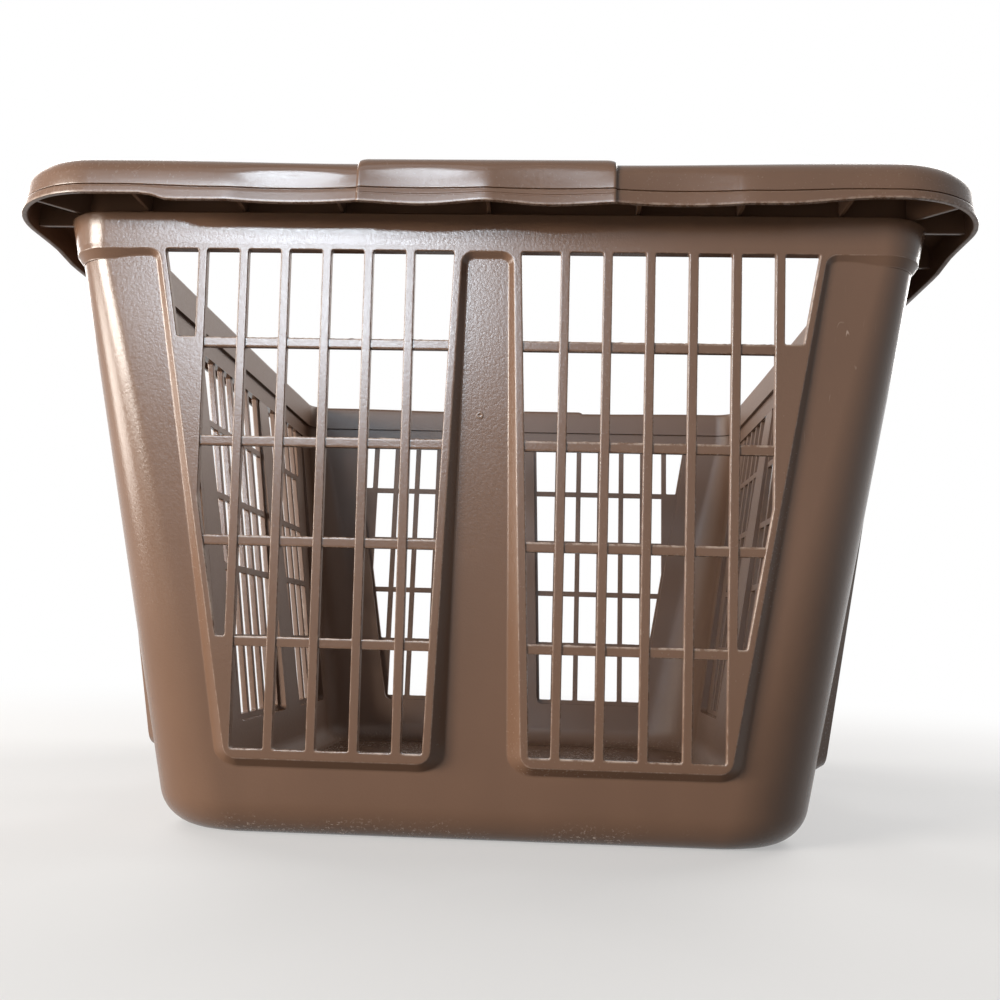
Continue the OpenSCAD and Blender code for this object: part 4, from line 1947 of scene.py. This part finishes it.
@dataclass(frozen=True)
class Studio:
    """Camera, lamps, pale floor and white surroundings."""

    eye: Triple = (0.0319, -0.69766, 0.09128)
    lens: float = 37.8
    sensor: float = 36.0
    yaw: float = -0.0515
    pitch: float = 0.1307
    roll: float = 0.0287
    ambient: float = 0.16
    floor_half: float = 8.0
    floor_shade: float = 0.62
    floor_bounce: float = 0.25
    floor_glow: float = 0.40
    floor_fade: Flat = (0.35, 1.3)
    floor_cloud: float = 0.02

    def camera(self) -> None:
        """Sets up the camera."""
        data = bpy.data.cameras.new("camera")
        data.lens, data.sensor_width = self.lens, self.sensor
        made = bpy.data.objects.new("camera", data)
        ahead = Vector((
            math.sin(self.yaw) * math.cos(self.pitch), math.cos(self.yaw) * math.cos(self.pitch),
            math.sin(self.pitch),
        ))
        right = Vector((math.cos(self.yaw), -math.sin(self.yaw), 0))
        up = right.cross(ahead)
        turn = (math.cos(self.roll), math.sin(self.roll))
        axes = (right * turn[0] + up * turn[1], up * turn[0] - right * turn[1], -ahead)
        made.matrix_world = Matrix.Translation(self.eye) @ Matrix(axes).transposed().to_4x4()
        bpy.context.scene.collection.objects.link(made)
        bpy.context.scene.camera = made

    def lamps(self) -> None:
        """Hangs the lamps."""
        front, middle = (0.0, -0.25, 0.27), (0.0, 0.0, 0.15)
        cool, warm, plain = (0.80, 0.90, 1.0), (1.0, 0.93, 0.85), (1.0, 0.97, 0.94)
        for lamp in (
            Lamp("low_window", -15.0, 7.0, 1.9, (0.62, 0.09), 22.0, cool, front, True),
            Lamp("high_window", -15.0, 16.0, 1.9, (0.6, 0.22), 20.0, cool, front, True),
            Lamp("skylight", -16.0, 42.0, 1.9, (0.6, 0.6), 3.0, cool, front, True),
            Lamp("key", -52.0, 5.0, 1.9, (0.8, 0.45), 56.0, warm, front),
            Lamp("left_side", -72.0, 1.0, 1.6, (0.6, 0.34), 11.0, warm, middle),
            Lamp("right_rear", 135.0, 30.0, 2.2, (1.4, 1.2), 36.0, plain, middle),
            Lamp("left_rear", -128.0, 30.0, 2.2, (1.4, 1.2), 30.0, plain, middle),
        ):
            lamp.hang()

    def seen(self, shader: Shader) -> Signal:
        """Share of white: whole for the camera, clear things and glosses, none for the rest.

        Args:
            shader: The material or world in the making.

        Returns:
            The share.
        """
        rays = [
            shader.node("ShaderNodeLightPath", out=f"Is {kind} Ray")
            for kind in ("Camera", "Transmission", "Glossy")
        ]
        return rays[0].maths("MINIMUM", rays[0] + rays[1] + rays[2], 1.0)

    def floor(self) -> None:
        """Lays the pale floor, which fades into the white surroundings far from the basket."""
        mesh, half = bpy.data.meshes.new("pale_floor"), self.floor_half
        corners = [(-half, -half, 0), (half, -half, 0), (half, half, 0), (-half, half, 0)]
        mesh.from_pydata(corners, [], [(0, 1, 2, 3)])
        floor = bpy.data.objects.new("pale_floor", mesh)
        bpy.context.scene.collection.objects.link(floor)
        shader = Shader("pale_floor")
        place = shader.place()
        away = shader.vector("LENGTH", place, out="Value").step(*self.floor_fade)
        far = (away * (1 - self.floor_glow) + self.floor_glow) * self.seen(shader)
        camera = shader.node("ShaderNodeLightPath", out="Is Camera Ray")
        cloud = shader.noise(place, 3, 3)
        tone = camera * (self.floor_shade - self.floor_bounce) + self.floor_bounce
        tone = tone + (cloud - 0.5) * self.floor_cloud
        colour = shader.node("ShaderNodeCombineColor", {}, {0: tone, 1: tone, 2: tone})
        plain = shader.node("ShaderNodeBsdfPrincipled", {}, {"Base Color": colour, "Roughness": 0.8})
        white = shader.node("ShaderNodeEmission", {}, {"Color": WHITE, "Strength": 1.0})
        both = shader.node("ShaderNodeMixShader", {}, {0: far, 1: plain, 2: white})
        mesh.materials.append(shader.shown(both))

    def surroundings(self) -> None:
        """White to the camera and to glosses, and a plain soft light to the rest."""
        world = bpy.data.worlds.new("white_room")
        bpy.context.scene.world = world
        shader = Shader(world.name, world)
        strength = self.ambient + self.seen(shader) * (1.0 - self.ambient)
        values = {"Color": WHITE, "Strength": strength}
        shader.shown(shader.node("ShaderNodeBackground", {}, values))
        bpy.context.scene.view_settings.view_transform = "Standard"

    def build(self) -> None:
        """Sets up all but the camera."""
        self.lamps()
        self.floor()
        self.surroundings()


def main() -> None:
    """Builds the basket and its studio, and reports each piece."""
    logging.basicConfig(level=logging.INFO, format="%(name)s: %(message)s")
    studio = Studio()
    studio.camera()
    body = Body.from_frame()
    windows = Windows(body)
    parts = (windows, Uprights(body, windows), Base(body), Band(body, windows), Rim.from_frame(body))
    for part in parts:
        for made in part.build():
            log.info("%s: %d faces", made.name, len(made.data.polygons))
    studio.build()


if __name__ == "__main__":
    main()
